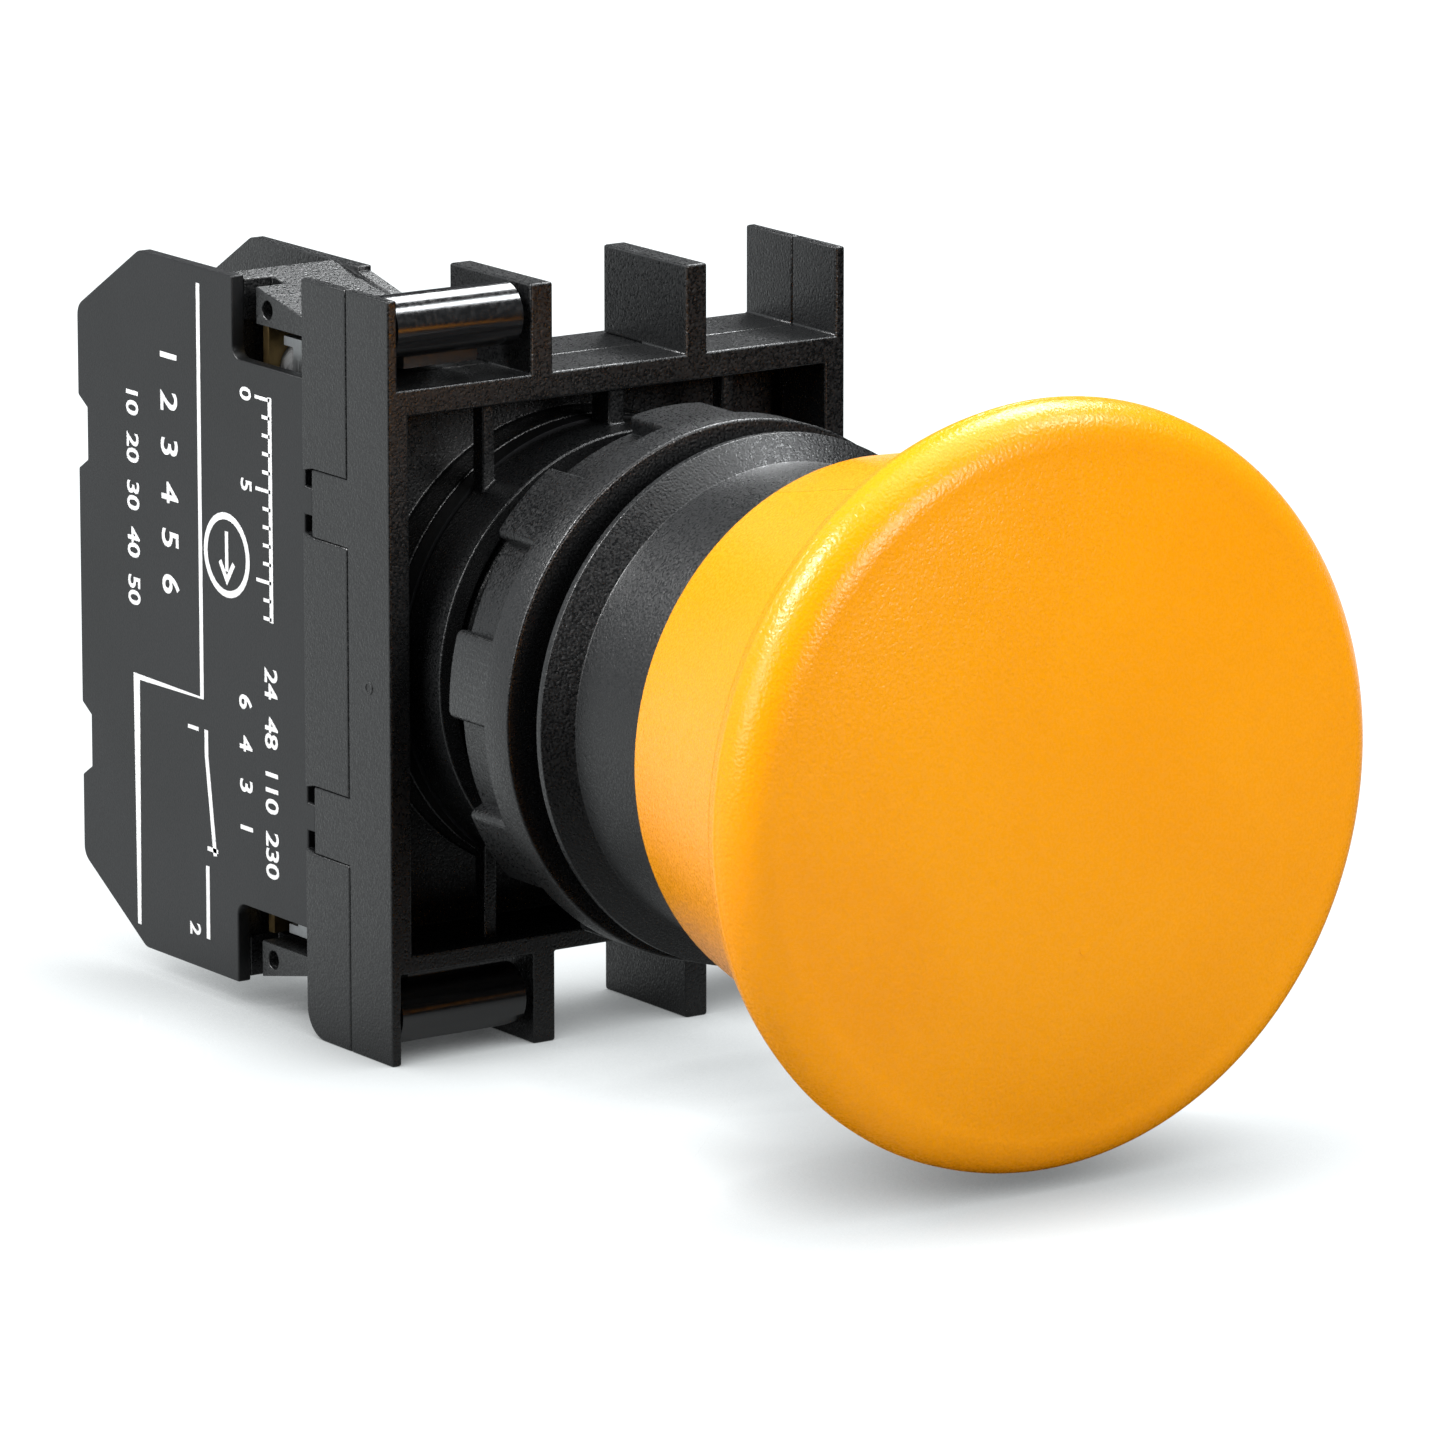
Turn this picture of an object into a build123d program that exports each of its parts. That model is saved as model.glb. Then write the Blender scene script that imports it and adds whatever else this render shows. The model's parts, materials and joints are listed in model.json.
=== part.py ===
from build123d import *
import os
from math import cos, sin, radians, sqrt

# Mushroom-head stop push button for a 22 mm panel hole. Millimetres, +Z up.
# The actuator's axis is Y: the head faces -Y and the contact block is at +Y.
# Y = 0 is the face that seats on the front of the control panel.

# ---- fits and allowances ----
RUN_FIT = 0.05            # radial clearance of a sliding fit
SEAT_FIT = 0.02           # radial clearance of parts pushed together
LOOSE = 0.3               # clearance of parts that only have to miss each other
BITE = 0.2                # overlap of two shapes that belong to one moulding
PAST = 1.0                # how far a cutter runs past the face that it opens

# ---- neck, gasket, bezel and guide sleeve ----
NECK_R = 11.1             # fits the standard 22.3 mm panel hole
NECK_WALL = 1.7
NECK_SETBACK = 1.2        # neck's end, in front of the holder's web
THREAD_PITCH = 1.5
THREAD_DEPTH = 0.45
THREAD_FLANK = 0.38       # half width of a thread groove, as a share of the pitch
KEY_W = 3.0               # key that stops the button turning in its panel hole
KEY_H = 1.4
GASKET_T = 0.9
GASKET_W = 2.5            # gasket beyond the neck
GASKET_TEETH = 72
TOOTH_DEPTH = 0.35
BEZEL_LIP = 0.65          # bezel beyond the gasket
BEZEL_RIM_T = 0.45
BEZEL_CONE = 1.25         # depth of the bezel's conical front
BEZEL_STEP = 1.35         # sleeve inside the bezel's edge
SLEEVE_WALL = 1.6
SLEEVE_OVERLAP = 2.4      # length of sleeve hidden inside the skirt at rest
GUIDE_T = 2.4             # web that guides the stem inside the bezel

# ---- mushroom head ----
TRAVEL = 5.0              # push to the end stop
PUSH_GAP = 2.8            # gap left between skirt and bezel at the end stop
HEAD_R = 20.0             # mushroom rim radius
HEAD_RIM_R = 2.4          # rounding of the rim
HEAD_DOME = 1.8           # rise of the gently domed face
HUB_LEN = 15.3            # skirt's rear edge to the rim's centre
RIM_PROUD = 2.6           # rim beyond the hub where they meet
HEAD_WALL = 1.25
SKIRT_GAP = 0.41          # skirt to sleeve
HEAD_FLOOR = 0.4          # inner face behind the rim's centre
BOSS_WALL = 2.0
HEAD_RIBS = 6
HEAD_RIB_T = 1.0
HEAD_RIB_H = 2.6

# ---- stem, clip, seal and return spring ----
STEM_R = 5.1
STEM_WALL = 1.6
STEM_FLANGE_T = 1.1
FLANGE_GAP = 0.4          # flange to sleeve at the end stop
CLIP_T = 0.8
CLIP_DEPTH = 0.8          # groove in the stem
CLIP_PROUD = 2.0
CLIP_SLOT = 3.8
SEAL_W = 2.2
SEAL_T = 1.5
CUP_WALL = 0.7            # cup of the bezel around the seal
SPRING_WIRE = 0.5         # wire radius
SPRING_COILS = 5
STEM_PROUD = 0.5          # stem beyond the neck's end

# ---- ring nut ----
NUT_WALL = 3.47           # nut beyond the neck
NUT_Y = 1.26              # nearest position of the nut, on a thin panel
NUT_RING_T = 2.35
NUT_T = 5.85
NUT_LUGS = 9
NUT_LUG_DEG = 19.0
NUT_LUG_PHASE = 93.0
NUT_RECESS = 1.0          # depth of the spaces between the lugs

# ---- holder: two halves that snap together ----
HOLDER_Y = 12.4           # front plane
FRONT_D = 4.15            # front half
REAR_D = 4.4              # rear half
SIDE_ROOM = 3.55          # outer side face beyond the neck
BAR_ROOM = 3.3            # underside of the top bar beyond the neck
LOW_BAR_ROOM = 3.65
TOP_BAR_T = 1.45
LOW_BAR_T = 1.0
BAY_DEPTH = 4.85          # fin height above the top bar
WALL_T = 0.6
WALL_CORNER_R = 1.7
INNER_T = 0.7             # inner side members of the front half
BAY_PITCH = 9.9           # distance between the two middle fins
FIN_T = 1.4
FIN_SHORT = 0.65          # middle fins stop short of the rear plane
TAB_Z = (8.65, -8.65)     # centre heights of the snap tabs
TAB_H = 3.7
TAB_SHORT = 0.9           # notch left behind each tab
TAB_TAPER = 0.2           # each end of that notch slopes inwards
COLLAR_PROUD = 1.5        # front collar beyond the front plane
COLLAR_W = 1.4            # front collar beyond the neck
REAR_COLLAR_W = 1.6
RIB_X = 7.7
RIB_T = 0.8
MARK_W = 1.0              # alignment rib under the top bar
WEB_SETBACK = 1.05        # rear half's web behind the seam
WEB_T = 1.2
HUB_DEPTH = 2.0           # rear half's collar in front of its web

# ---- lock ring ----
LOCK_T = 1.1
LOCK_W = 1.5              # lock ring beyond the neck
LOCK_PLAY = 0.1
LOCK_TURN_DEG = 45.0
LOCK_GROOVE = 0.8
LUG_HALF_Z = 3.0
LEVER_PROUD = 0.7
LEVER_H = 0.8
KEEPER_T = 1.0            # ribs that keep the lock ring in place

# ---- transfer plate ----
PLATE_T = 1.2
PLATE_HALF_Z = 3.0
PLATE_REACH = 2.04        # plate beyond the middle of the contact block
PLATE_CLEAR = 0.85        # behind the plate at the end stop

# ---- contact block ----
BLOCK_W = 8.02
BLOCK_GAP = 0.18          # block inside the holder's outer side face
BLOCK_LEN = 23.35
BLOCK_WALL = 0.8
BLOCK_INSET = 1.2         # block's half height inside the holder's
BLOCK_RISE = 0.2          # block's middle above the axis
BLOCK_END_T = 1.5
CHAMFER_Y = 6.5
CHAMFER_Z = 4.0
CORNER_R = 1.0
WINDOW_LEN = 7.2          # side windows beside the wire chambers
WINDOW_DROP = 4.45        # window's inner edge, from the block's end
WINDOW_R = 0.7
CHAMBER_Y = 0.7
CHAMBER_LEN = 7.45
CHAMBER_DROP = 2.5        # wire chamber's outer wall, from the block's end
CHAMBER_H = 5.3
CHAMBER_WALL = 1.0
WELL_GAP = 0.5            # screwdriver well beside the wire chamber
SLOT_LEN = 1.15           # dark slot at the rear end of each side window
SLOT_DEPTH = 1.8
SLOPE_DROP = 1.7          # fall of the sloped end towards the holder
SLOPE_LEN = 5.8
SLOPE_STEP = 0.3
VENT_R = 0.5              # small round hole in each recessed panel
VENT_Y = 4.9
VENT_DROP = 1.6
NOTCH_H = 2.9             # notches for a second row of blocks
NOTCH_D = 0.95
NOTCH_SLOPE = 0.6
NIB_H = 1.5               # locating nibs on the block's front edge
NIB_GAP = 0.15
CAVITY_Z = 9.0
CAVITY_Y = 1.5
FLOOR_T = 0.5

# ---- contacts, terminals and plunger ----
FIXED_SETBACK = 6.25      # terminal strips behind the block's front
STRIP_T = 0.6
STRIP_W = 2.8
PAD_HALF_W = 2.25
TIP_T = 0.6
TIP_R = 1.1
TIP_Z = 6.3
TIP_EDGE = 0.3            # strip beyond its tip
BRIDGE_T = 0.5
SCREW_INSET = 2.75        # screw's axis inside the wire chamber
SCREW_R = 1.6
SCREW_HEAD_R = 2.6
SCREW_HEAD_T = 1.9
SCREW_TAIL = 4.6          # screw beyond its strip
CROSS_LEN = 2.0
CROSS_W = 0.7
CROSS_DEPTH = 0.9
CLAMP_GAP = 2.4           # clamp plate in front of its strip
CLAMP_T = 1.1
CLAMP_H = 2.2
CLAMP_LIP = 0.9
CLAMP_LIP_T = 0.5
PLUNGER_HALF_X = 2.2
PLUNGER_NOSE_Z = 2.6
PLUNGER_Z = 3.4
PLUNGER_NOSE = 2.0        # length of the nose inside the block
PLUNGER_END_T = 1.8
PLUNGER_WINDOW_Z = 1.9
REAR_ROOM = 3.2           # plunger to rear wall at the end stop
PLUNGER_SPRING_R = 2.1
PLUNGER_COILS = 7
CONTACT_SPRING_R = 1.25
CONTACT_COILS = 4
FINE_WIRE = 0.25

# ---- snap bars that hold the block in its bay ----
SNAP_CLEAR = 0.8          # leg to top bar
SNAP_SETBACK = 1.65       # bar's axis behind the holder's front plane
SNAP_SHORT = 0.5          # bar's end to the middle fin
LOW_SNAP_RISE = 0.9       # lower bar, from the lower edge of the fins
LEG_X = (2.05, 6.65)      # leg, from the holder's side face
LEG_T = 1.3

os.makedirs("parts", exist_ok=True)

# ---- places along the axis ----
BEZEL_EDGE_Y = -GASKET_T - BEZEL_RIM_T
BEZEL_FACE_Y = BEZEL_EDGE_Y - BEZEL_CONE
GUIDE_REAR_Y = BEZEL_FACE_Y + GUIDE_T
SKIRT_REAR_Y = BEZEL_FACE_Y - PUSH_GAP - TRAVEL
SLEEVE_FRONT_Y = SKIRT_REAR_Y - SLEEVE_OVERLAP
HEAD_RIM_Y = SKIRT_REAR_Y - HUB_LEN
HEAD_FLOOR_Y = HEAD_RIM_Y + HEAD_FLOOR
FLANGE_Y = SLEEVE_FRONT_Y - TRAVEL - FLANGE_GAP
SPLIT_Y = HOLDER_Y + FRONT_D
REAR_Y = SPLIT_Y + REAR_D
COLLAR_Y = HOLDER_Y - COLLAR_PROUD
WEB_Y = SPLIT_Y + WEB_SETBACK
LOCK_REAR_Y = WEB_Y - HUB_DEPTH
LOCK_Y = LOCK_REAR_Y - LOCK_T
KEEPER_Y = LOCK_Y - LOCK_PLAY - KEEPER_T
NECK_END_Y = WEB_Y - NECK_SETBACK
PLATE_Y = NECK_END_Y + STEM_PROUD
PLUNGER_Y = PLATE_Y + PLATE_T
BLOCK_Y = REAR_Y
BLOCK_REAR_Y = BLOCK_Y + BLOCK_LEN
CAVITY_REAR_Y = BLOCK_REAR_Y - BLOCK_END_T
CHAMBER_END_Y = BLOCK_Y + CHAMBER_LEN + CHAMBER_WALL
WINDOW_Y = BLOCK_Y + WINDOW_LEN
FIXED_Y = BLOCK_Y + FIXED_SETBACK
BRIDGE_Y = FIXED_Y + STRIP_T + 2 * TIP_T
PLUNGER_END_Y = CAVITY_REAR_Y - REAR_ROOM - TRAVEL
PLUNGER_WINDOW_Y = PLUNGER_END_Y - PLUNGER_END_T
SNAP_Y = HOLDER_Y + SNAP_SETBACK

# ---- radii ----
NECK_BORE_R = NECK_R - NECK_WALL
GASKET_R = NECK_R + GASKET_W
BEZEL_R = GASKET_R + BEZEL_LIP
SLEEVE_R = BEZEL_R - BEZEL_STEP
SLEEVE_BORE_R = SLEEVE_R - SLEEVE_WALL
SKIRT_BORE_R = SLEEVE_R + SKIRT_GAP
SKIRT_R = SKIRT_BORE_R + HEAD_WALL
HUB_R = HEAD_R - RIM_PROUD
GROOVE_R = STEM_R - CLIP_DEPTH
SEAL_R = STEM_R + SEAL_W
SPRING_R = SEAL_R + CUP_WALL + FLANGE_GAP + SPRING_WIRE
NUT_R = NECK_R + NUT_WALL
COLLAR_BORE_R = NECK_R + LOOSE
COLLAR_R = NECK_R + COLLAR_W
LOCK_R = NECK_R + LOCK_W

# ---- widths and heights ----
HALF_W = NECK_R + SIDE_ROOM
TOP_BAR_Z = NECK_R + BAR_ROOM
TOP_BAR_TOP = TOP_BAR_Z + TOP_BAR_T
LOW_BAR_Z = -NECK_R - LOW_BAR_ROOM
LOW_BAR_LOW = LOW_BAR_Z - LOW_BAR_T
HALF_H = TOP_BAR_TOP + BAY_DEPTH
SNAP_R = (BAY_DEPTH - LEG_T / 2 - SNAP_CLEAR) / 2
SNAP_Z = (HALF_H - SNAP_R, -HALF_H + LOW_SNAP_RISE + SNAP_R)
BLOCK_X = (-HALF_W + BLOCK_GAP, -HALF_W + BLOCK_GAP + BLOCK_W)
CORE_X = (BLOCK_X[0] + BLOCK_WALL, BLOCK_X[1] - BLOCK_WALL)
MID_X = (BLOCK_X[0] + BLOCK_X[1]) / 2
BLOCK_HALF_H = HALF_H - BLOCK_INSET
BLOCK_TOP = BLOCK_RISE + BLOCK_HALF_H
BLOCK_LOW = BLOCK_RISE - BLOCK_HALF_H
WINDOW_Z = BLOCK_HALF_H - WINDOW_DROP
CHAMBER_Z = BLOCK_HALF_H - CHAMBER_DROP
CHAMBER_IN_Z = CHAMBER_Z - CHAMBER_H
SCREW_Z = CHAMBER_Z - SCREW_INSET
VENT_Z = BLOCK_HALF_H - VENT_DROP
PLATE_HALF_X = PLATE_REACH - MID_X


def box(x0, x1, y0, y1, z0, z1):
    centre = ((x0 + x1) / 2, (y0 + y1) / 2, (z0 + z1) / 2)
    return Pos(*centre) * Box(abs(x1 - x0), abs(y1 - y0), abs(z1 - z0))


def turned(points):
    """A solid turned about the Y axis from (radius, y) points."""
    return revolve(make_face(Polyline(*points, close=True)), axis=Axis.Y)


def ring(outer, inner, y0, y1):
    return turned([(inner, y0), (outer, y0), (outer, y1), (inner, y1)])


def rod_y(radius, y0, y1, x=0.0, z=0.0):
    return Pos(x, (y0 + y1) / 2, z) * Rot(90, 0, 0) * Cylinder(radius, y1 - y0)


def rod_x(radius, x0, x1, y, z):
    return Pos((x0 + x1) / 2, y, z) * Rot(0, 90, 0) * Cylinder(radius, x1 - x0)


def side_slab(x0, x1, outline, corners=(), radius=0.0):
    """A slab between two X planes from (y, z) points; the named corners are rounded."""
    face = make_face(Polyline(*[(x0, y, z) for y, z in outline], close=True))
    for y, z in corners:
        corner = face.vertices().sort_by_distance((x0, y, z))[0]
        face = fillet(corner, radius)
    return extrude(face, amount=x1 - x0, dir=(1, 0, 0))


def spring_y(radius, wire, y0, y1, coils, x=0.0):
    """A compression spring along Y that seats between the planes y0 and y1."""
    height = (y1 - y0) - 2 * wire
    path = Helix(height / coils, height, radius, center=(x, y0 + wire, 0), direction=(0, 1, 0))
    section = Plane(origin=path @ 0, z_dir=path % 0) * Circle(wire)
    return sweep(section, path=path, is_frenet=True)


def save(name, shape):
    export_step(shape, f"parts/{name}.step")


# ---- mushroom head: one moulded shell with a socket boss inside ----
def mushroom_head():
    rim_x = HEAD_R - HEAD_RIM_R
    front_y = HEAD_RIM_Y - HEAD_RIM_R
    apex_y = front_y - HEAD_DOME
    hub_y = HEAD_RIM_Y + HEAD_RIM_R
    mid_face = (rim_x / 2, front_y - 0.75 * HEAD_DOME)
    edges = [
        ThreePointArc((0, apex_y), mid_face, (rim_x, front_y)),
        ThreePointArc((rim_x, front_y), (HEAD_R, HEAD_RIM_Y), (rim_x, hub_y)),
        Line((rim_x, hub_y), (HUB_R, hub_y)),
        Line((HUB_R, hub_y), (SKIRT_R, SKIRT_REAR_Y)),
        Line((SKIRT_R, SKIRT_REAR_Y), (SKIRT_BORE_R, SKIRT_REAR_Y)),
        Line((SKIRT_BORE_R, SKIRT_REAR_Y), (SKIRT_BORE_R, HEAD_FLOOR_Y)),
        Line((SKIRT_BORE_R, HEAD_FLOOR_Y), (0, HEAD_FLOOR_Y)),
        Line((0, HEAD_FLOOR_Y), (0, apex_y)),
    ]
    shell = revolve(make_face(edges), axis=Axis.Y)
    boss_r = STEM_R + BOSS_WALL
    boss = ring(boss_r, STEM_R + SEAT_FIT, HEAD_FLOOR_Y, FLANGE_Y)
    rib_end_y = HEAD_FLOOR_Y + HEAD_RIB_H
    half = HEAD_RIB_T / 2
    rib = box(boss_r - BITE, SKIRT_BORE_R + BITE, HEAD_FLOOR_Y, rib_end_y, -half, half)
    ribs = [Rot(0, i * 360 / HEAD_RIBS, 0) * rib for i in range(HEAD_RIBS)]
    return shell + boss + ribs


def head_stem():
    stem = rod_y(STEM_R, HEAD_FLOOR_Y + RUN_FIT, PLATE_Y)
    stem += ring(SPRING_R + 2 * SPRING_WIRE + BITE, STEM_R - BITE, FLANGE_Y, FLANGE_Y + STEM_FLANGE_T)
    stem -= ring(STEM_R + PAST, GROOVE_R, GUIDE_REAR_Y, GUIDE_REAR_Y + CLIP_T)
    hollow_y = GUIDE_REAR_Y + CLIP_T + STEM_WALL
    return stem - rod_y(STEM_R - STEM_WALL, hollow_y, PLATE_Y - STEM_WALL)


def stem_clip():
    y1 = GUIDE_REAR_Y + CLIP_T
    clip = ring(STEM_R + CLIP_PROUD, GROOVE_R + RUN_FIT, GUIDE_REAR_Y, y1)
    half = CLIP_SLOT / 2
    return clip - box(-half, half, GUIDE_REAR_Y - PAST, y1 + PAST, -STEM_R - CLIP_PROUD - PAST, 0)


# ---- bezel: guide sleeve, conical flange and threaded neck in one moulding ----
def bezel_body():
    guide_r = STEM_R + RUN_FIT
    body = turned([
        (SLEEVE_BORE_R, SLEEVE_FRONT_Y), (SLEEVE_R, SLEEVE_FRONT_Y), (SLEEVE_R, BEZEL_FACE_Y),
        (BEZEL_R, BEZEL_EDGE_Y), (BEZEL_R, -GASKET_T), (NECK_R, -GASKET_T),
        (NECK_R, NECK_END_Y), (NECK_BORE_R, NECK_END_Y), (NECK_BORE_R, GUIDE_REAR_Y),
        (guide_r, GUIDE_REAR_Y), (guide_r, BEZEL_FACE_Y), (SLEEVE_BORE_R, BEZEL_FACE_Y),
    ])
    body += ring(SEAL_R + CUP_WALL, SEAL_R, BEZEL_FACE_Y - SEAL_T, BEZEL_FACE_Y)
    half_key = KEY_W / 2
    body += box(-half_key, half_key, 0, NUT_Y - RUN_FIT, NECK_R - LOOSE, NECK_R + KEY_H)
    first = NUT_Y + THREAD_PITCH / 2
    half = THREAD_PITCH * THREAD_FLANK
    root_r = NECK_R - THREAD_DEPTH
    open_r = NECK_R + RUN_FIT
    for i in range(int((COLLAR_Y - first) / THREAD_PITCH)):
        y = first + i * THREAD_PITCH
        body -= turned([(open_r, y - half), (root_r, y), (open_r, y + half)])
    groove_r = NECK_R - LOCK_GROOVE
    y0 = LOCK_Y - LOCK_PLAY / 2
    body -= ring(NECK_R + PAST, groove_r, y0, LOCK_REAR_Y + LOCK_PLAY / 2)
    slot_z = LUG_HALF_Z + PAST
    for angle in (LOCK_TURN_DEG, LOCK_TURN_DEG + 180):
        slot = box(groove_r, NECK_R + PAST, y0, NECK_END_Y + PAST, -slot_z, slot_z)
        body -= Rot(0, -angle, 0) * slot
    return body


def stem_seal():
    return ring(SEAL_R - SEAT_FIT, STEM_R + RUN_FIT, BEZEL_FACE_Y - SEAL_T, BEZEL_FACE_Y)


def panel_gasket():
    step = 360 / GASKET_TEETH
    points = []
    for i in range(GASKET_TEETH):
        for radius, share in ((GASKET_R, 0.0), (GASKET_R - TOOTH_DEPTH, 0.5)):
            a = radians(step * (i + share))
            points.append((radius * cos(a), -GASKET_T, radius * sin(a)))
    outer = extrude(make_face(Polyline(*points, close=True)), amount=GASKET_T, dir=(0, 1, 0))
    return outer - rod_y(NECK_R + LOOSE, -GASKET_T - PAST, PAST)


def lock_nut():
    ring_end = NUT_Y + NUT_RING_T
    nut_end = NUT_Y + NUT_T
    recess_r = NUT_R - NUT_RECESS
    bore_r = NECK_R + RUN_FIT
    nut = ring(NUT_R, bore_r, NUT_Y, ring_end)
    nut += ring(recess_r, bore_r, ring_end, nut_end)
    half = NUT_R * sin(radians(NUT_LUG_DEG / 2))
    blank = ring(NUT_R, recess_r - BITE, ring_end - BITE, nut_end)
    wedge = box(recess_r - PAST, NUT_R + PAST, NUT_Y, nut_end + PAST, -half, half)
    for i in range(NUT_LUGS):
        nut += blank & (Rot(0, -NUT_LUG_PHASE - i * 360 / NUT_LUGS, 0) * wedge)
    return nut


# ---- holder: two snapped halves that carry up to three contact blocks ----
def side_wall(sign, y0, y1, z0, z1, thickness):
    outer = sign * HALF_W
    return box(outer - sign * thickness, outer, y0, y1, z0, z1)


def rear_side_wall(sign):
    """Side wall of the rear half, with room for the front half's snap tabs."""
    outer = sign * HALF_W
    x0, x1 = sorted((outer, outer - sign * WALL_T))
    outline = [(SPLIT_Y, -HALF_H), (REAR_Y, -HALF_H), (REAR_Y, HALF_H), (SPLIT_Y, HALF_H)]
    wall = side_slab(x0, x1, outline, [(REAR_Y, -HALF_H)], WALL_CORNER_R)
    half = TAB_H / 2
    end = half - TAB_TAPER
    for z in TAB_Z:
        wall -= side_slab(x0, x1, [
            (SPLIT_Y, z - half), (REAR_Y - TAB_SHORT, z - half), (REAR_Y, z - end),
            (REAR_Y, z + end), (REAR_Y - TAB_SHORT, z + half), (SPLIT_Y, z + half),
        ])
    return wall


def bars(y0, y1):
    top = box(-HALF_W, HALF_W, y0, y1, TOP_BAR_Z, TOP_BAR_TOP)
    return top + box(-HALF_W, HALF_W, y0, y1, LOW_BAR_LOW, LOW_BAR_Z)


def fin(x):
    """One middle fin above and below the bars, seated over the rear half."""
    x0, x1 = x - FIN_T / 2, x + FIN_T / 2
    end_y = REAR_Y - FIN_SHORT
    upper = box(x0, x1, HOLDER_Y, SPLIT_Y, TOP_BAR_Z, HALF_H)
    upper += box(x0, x1, SPLIT_Y, end_y, TOP_BAR_TOP, HALF_H)
    lower = box(x0, x1, HOLDER_Y, SPLIT_Y, -HALF_H, LOW_BAR_Z)
    lower += box(x0, x1, SPLIT_Y, end_y, -HALF_H, LOW_BAR_LOW)
    return upper + lower


def holder_front_frame():
    keeper_end = KEEPER_Y + KEEPER_T
    frame = bars(HOLDER_Y, SPLIT_Y)
    rib_z = sqrt((COLLAR_BORE_R + COLLAR_W / 2) ** 2 - RIB_X ** 2)
    for sign in (-1, 1):
        frame += side_wall(sign, HOLDER_Y, SPLIT_Y, -HALF_H, HALF_H, WALL_T)
        frame += side_wall(sign, HOLDER_Y, SPLIT_Y, LOW_BAR_Z, TOP_BAR_Z, WALL_T + INNER_T)
        for z in TAB_Z:
            half = TAB_H / 2
            frame += side_wall(sign, SPLIT_Y, REAR_Y - TAB_SHORT, z - half, z + half, WALL_T)
        frame += fin(sign * BAY_PITCH / 2)
        x0, x1 = sign * RIB_X - RIB_T / 2, sign * RIB_X + RIB_T / 2
        frame += box(x0, x1, KEEPER_Y, keeper_end, rib_z, TOP_BAR_Z + BITE)
        frame += box(x0, x1, KEEPER_Y, keeper_end, LOW_BAR_Z - BITE, -rib_z)
    mark_y = HOLDER_Y + LOOSE
    half_mark = MARK_W / 2
    frame += box(-half_mark, half_mark, mark_y, keeper_end, COLLAR_R - BITE, TOP_BAR_Z + BITE)
    return frame + ring(COLLAR_R, COLLAR_BORE_R, COLLAR_Y, keeper_end)


def holder_rear_frame():
    web_end = WEB_Y + WEB_T
    frame = bars(SPLIT_Y, REAR_Y)
    frame += box(-HALF_W + WALL_T - BITE, HALF_W - WALL_T + BITE, WEB_Y, web_end,
                 LOW_BAR_Z - BITE, TOP_BAR_Z + BITE)
    for sign in (-1, 1):
        frame += rear_side_wall(sign)
        for z in TAB_Z:
            half = TAB_H / 2
            frame -= side_wall(sign, WEB_Y, web_end, z - half, z + half, WALL_T)
    collar_r = NECK_R + 2 * RUN_FIT
    collar_y = LOCK_REAR_Y + LOCK_PLAY
    frame += ring(NECK_R + REAR_COLLAR_W, collar_r, collar_y, WEB_Y + BITE)
    slot_x = PLATE_HALF_X + LOOSE
    slot_z = PLATE_HALF_Z + BITE
    frame -= box(-slot_x, slot_x, NECK_END_Y + LOOSE, REAR_Y + PAST, -slot_z, slot_z)
    return frame - rod_y(NECK_BORE_R, WEB_Y - PAST, web_end + PAST)


def lock_ring():
    lock = ring(LOCK_R, NECK_R + 2 * RUN_FIT, LOCK_Y, LOCK_REAR_Y)
    band = ring(NECK_R + LOOSE, NECK_R - LOCK_GROOVE + 2 * RUN_FIT, LOCK_Y, LOCK_REAR_Y)
    near = NECK_R / 2
    far = NECK_R + PAST
    for side in (-1, 1):
        lug = box(side * near, side * far, LOCK_Y, LOCK_REAR_Y, -LUG_HALF_Z, LUG_HALF_Z)
        lock += band & lug
    tip_x = -LOCK_R - LEVER_PROUD
    return lock + box(tip_x, -LOCK_R + BITE + BITE, LOCK_Y, LOCK_REAR_Y, LUG_HALF_Z - LEVER_H, LUG_HALF_Z)


# ---- transfer plate: carries the push from the stem to every block ----
def transfer_plate():
    y1 = PLATE_Y + PLATE_T
    plate = box(-PLATE_HALF_X, PLATE_HALF_X, PLATE_Y, y1, -PLATE_HALF_Z, PLATE_HALF_Z)
    return plate + rod_y(STEM_R + STEM_WALL, PLATE_Y, y1)


# ---- contact block ----
def rear_outline():
    """The block's rear edge from top to bottom, with notches for the next block."""
    points = [(BLOCK_REAR_Y - CHAMFER_Y, BLOCK_TOP), (BLOCK_REAR_Y, BLOCK_TOP - CHAMFER_Z)]
    half = NOTCH_H / 2
    notch_y = BLOCK_REAR_Y - NOTCH_D
    for z in TAB_Z:
        points += [(BLOCK_REAR_Y, z + half + NOTCH_SLOPE), (notch_y, z + half)]
        points += [(notch_y, z - half), (BLOCK_REAR_Y, z - half - NOTCH_SLOPE)]
    low = [(BLOCK_REAR_Y, BLOCK_LOW + CHAMFER_Z), (BLOCK_REAR_Y - CHAMFER_Y, BLOCK_LOW)]
    return points + low


def rear_corners():
    outline = rear_outline()
    return outline[:2] + outline[-2:]


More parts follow.
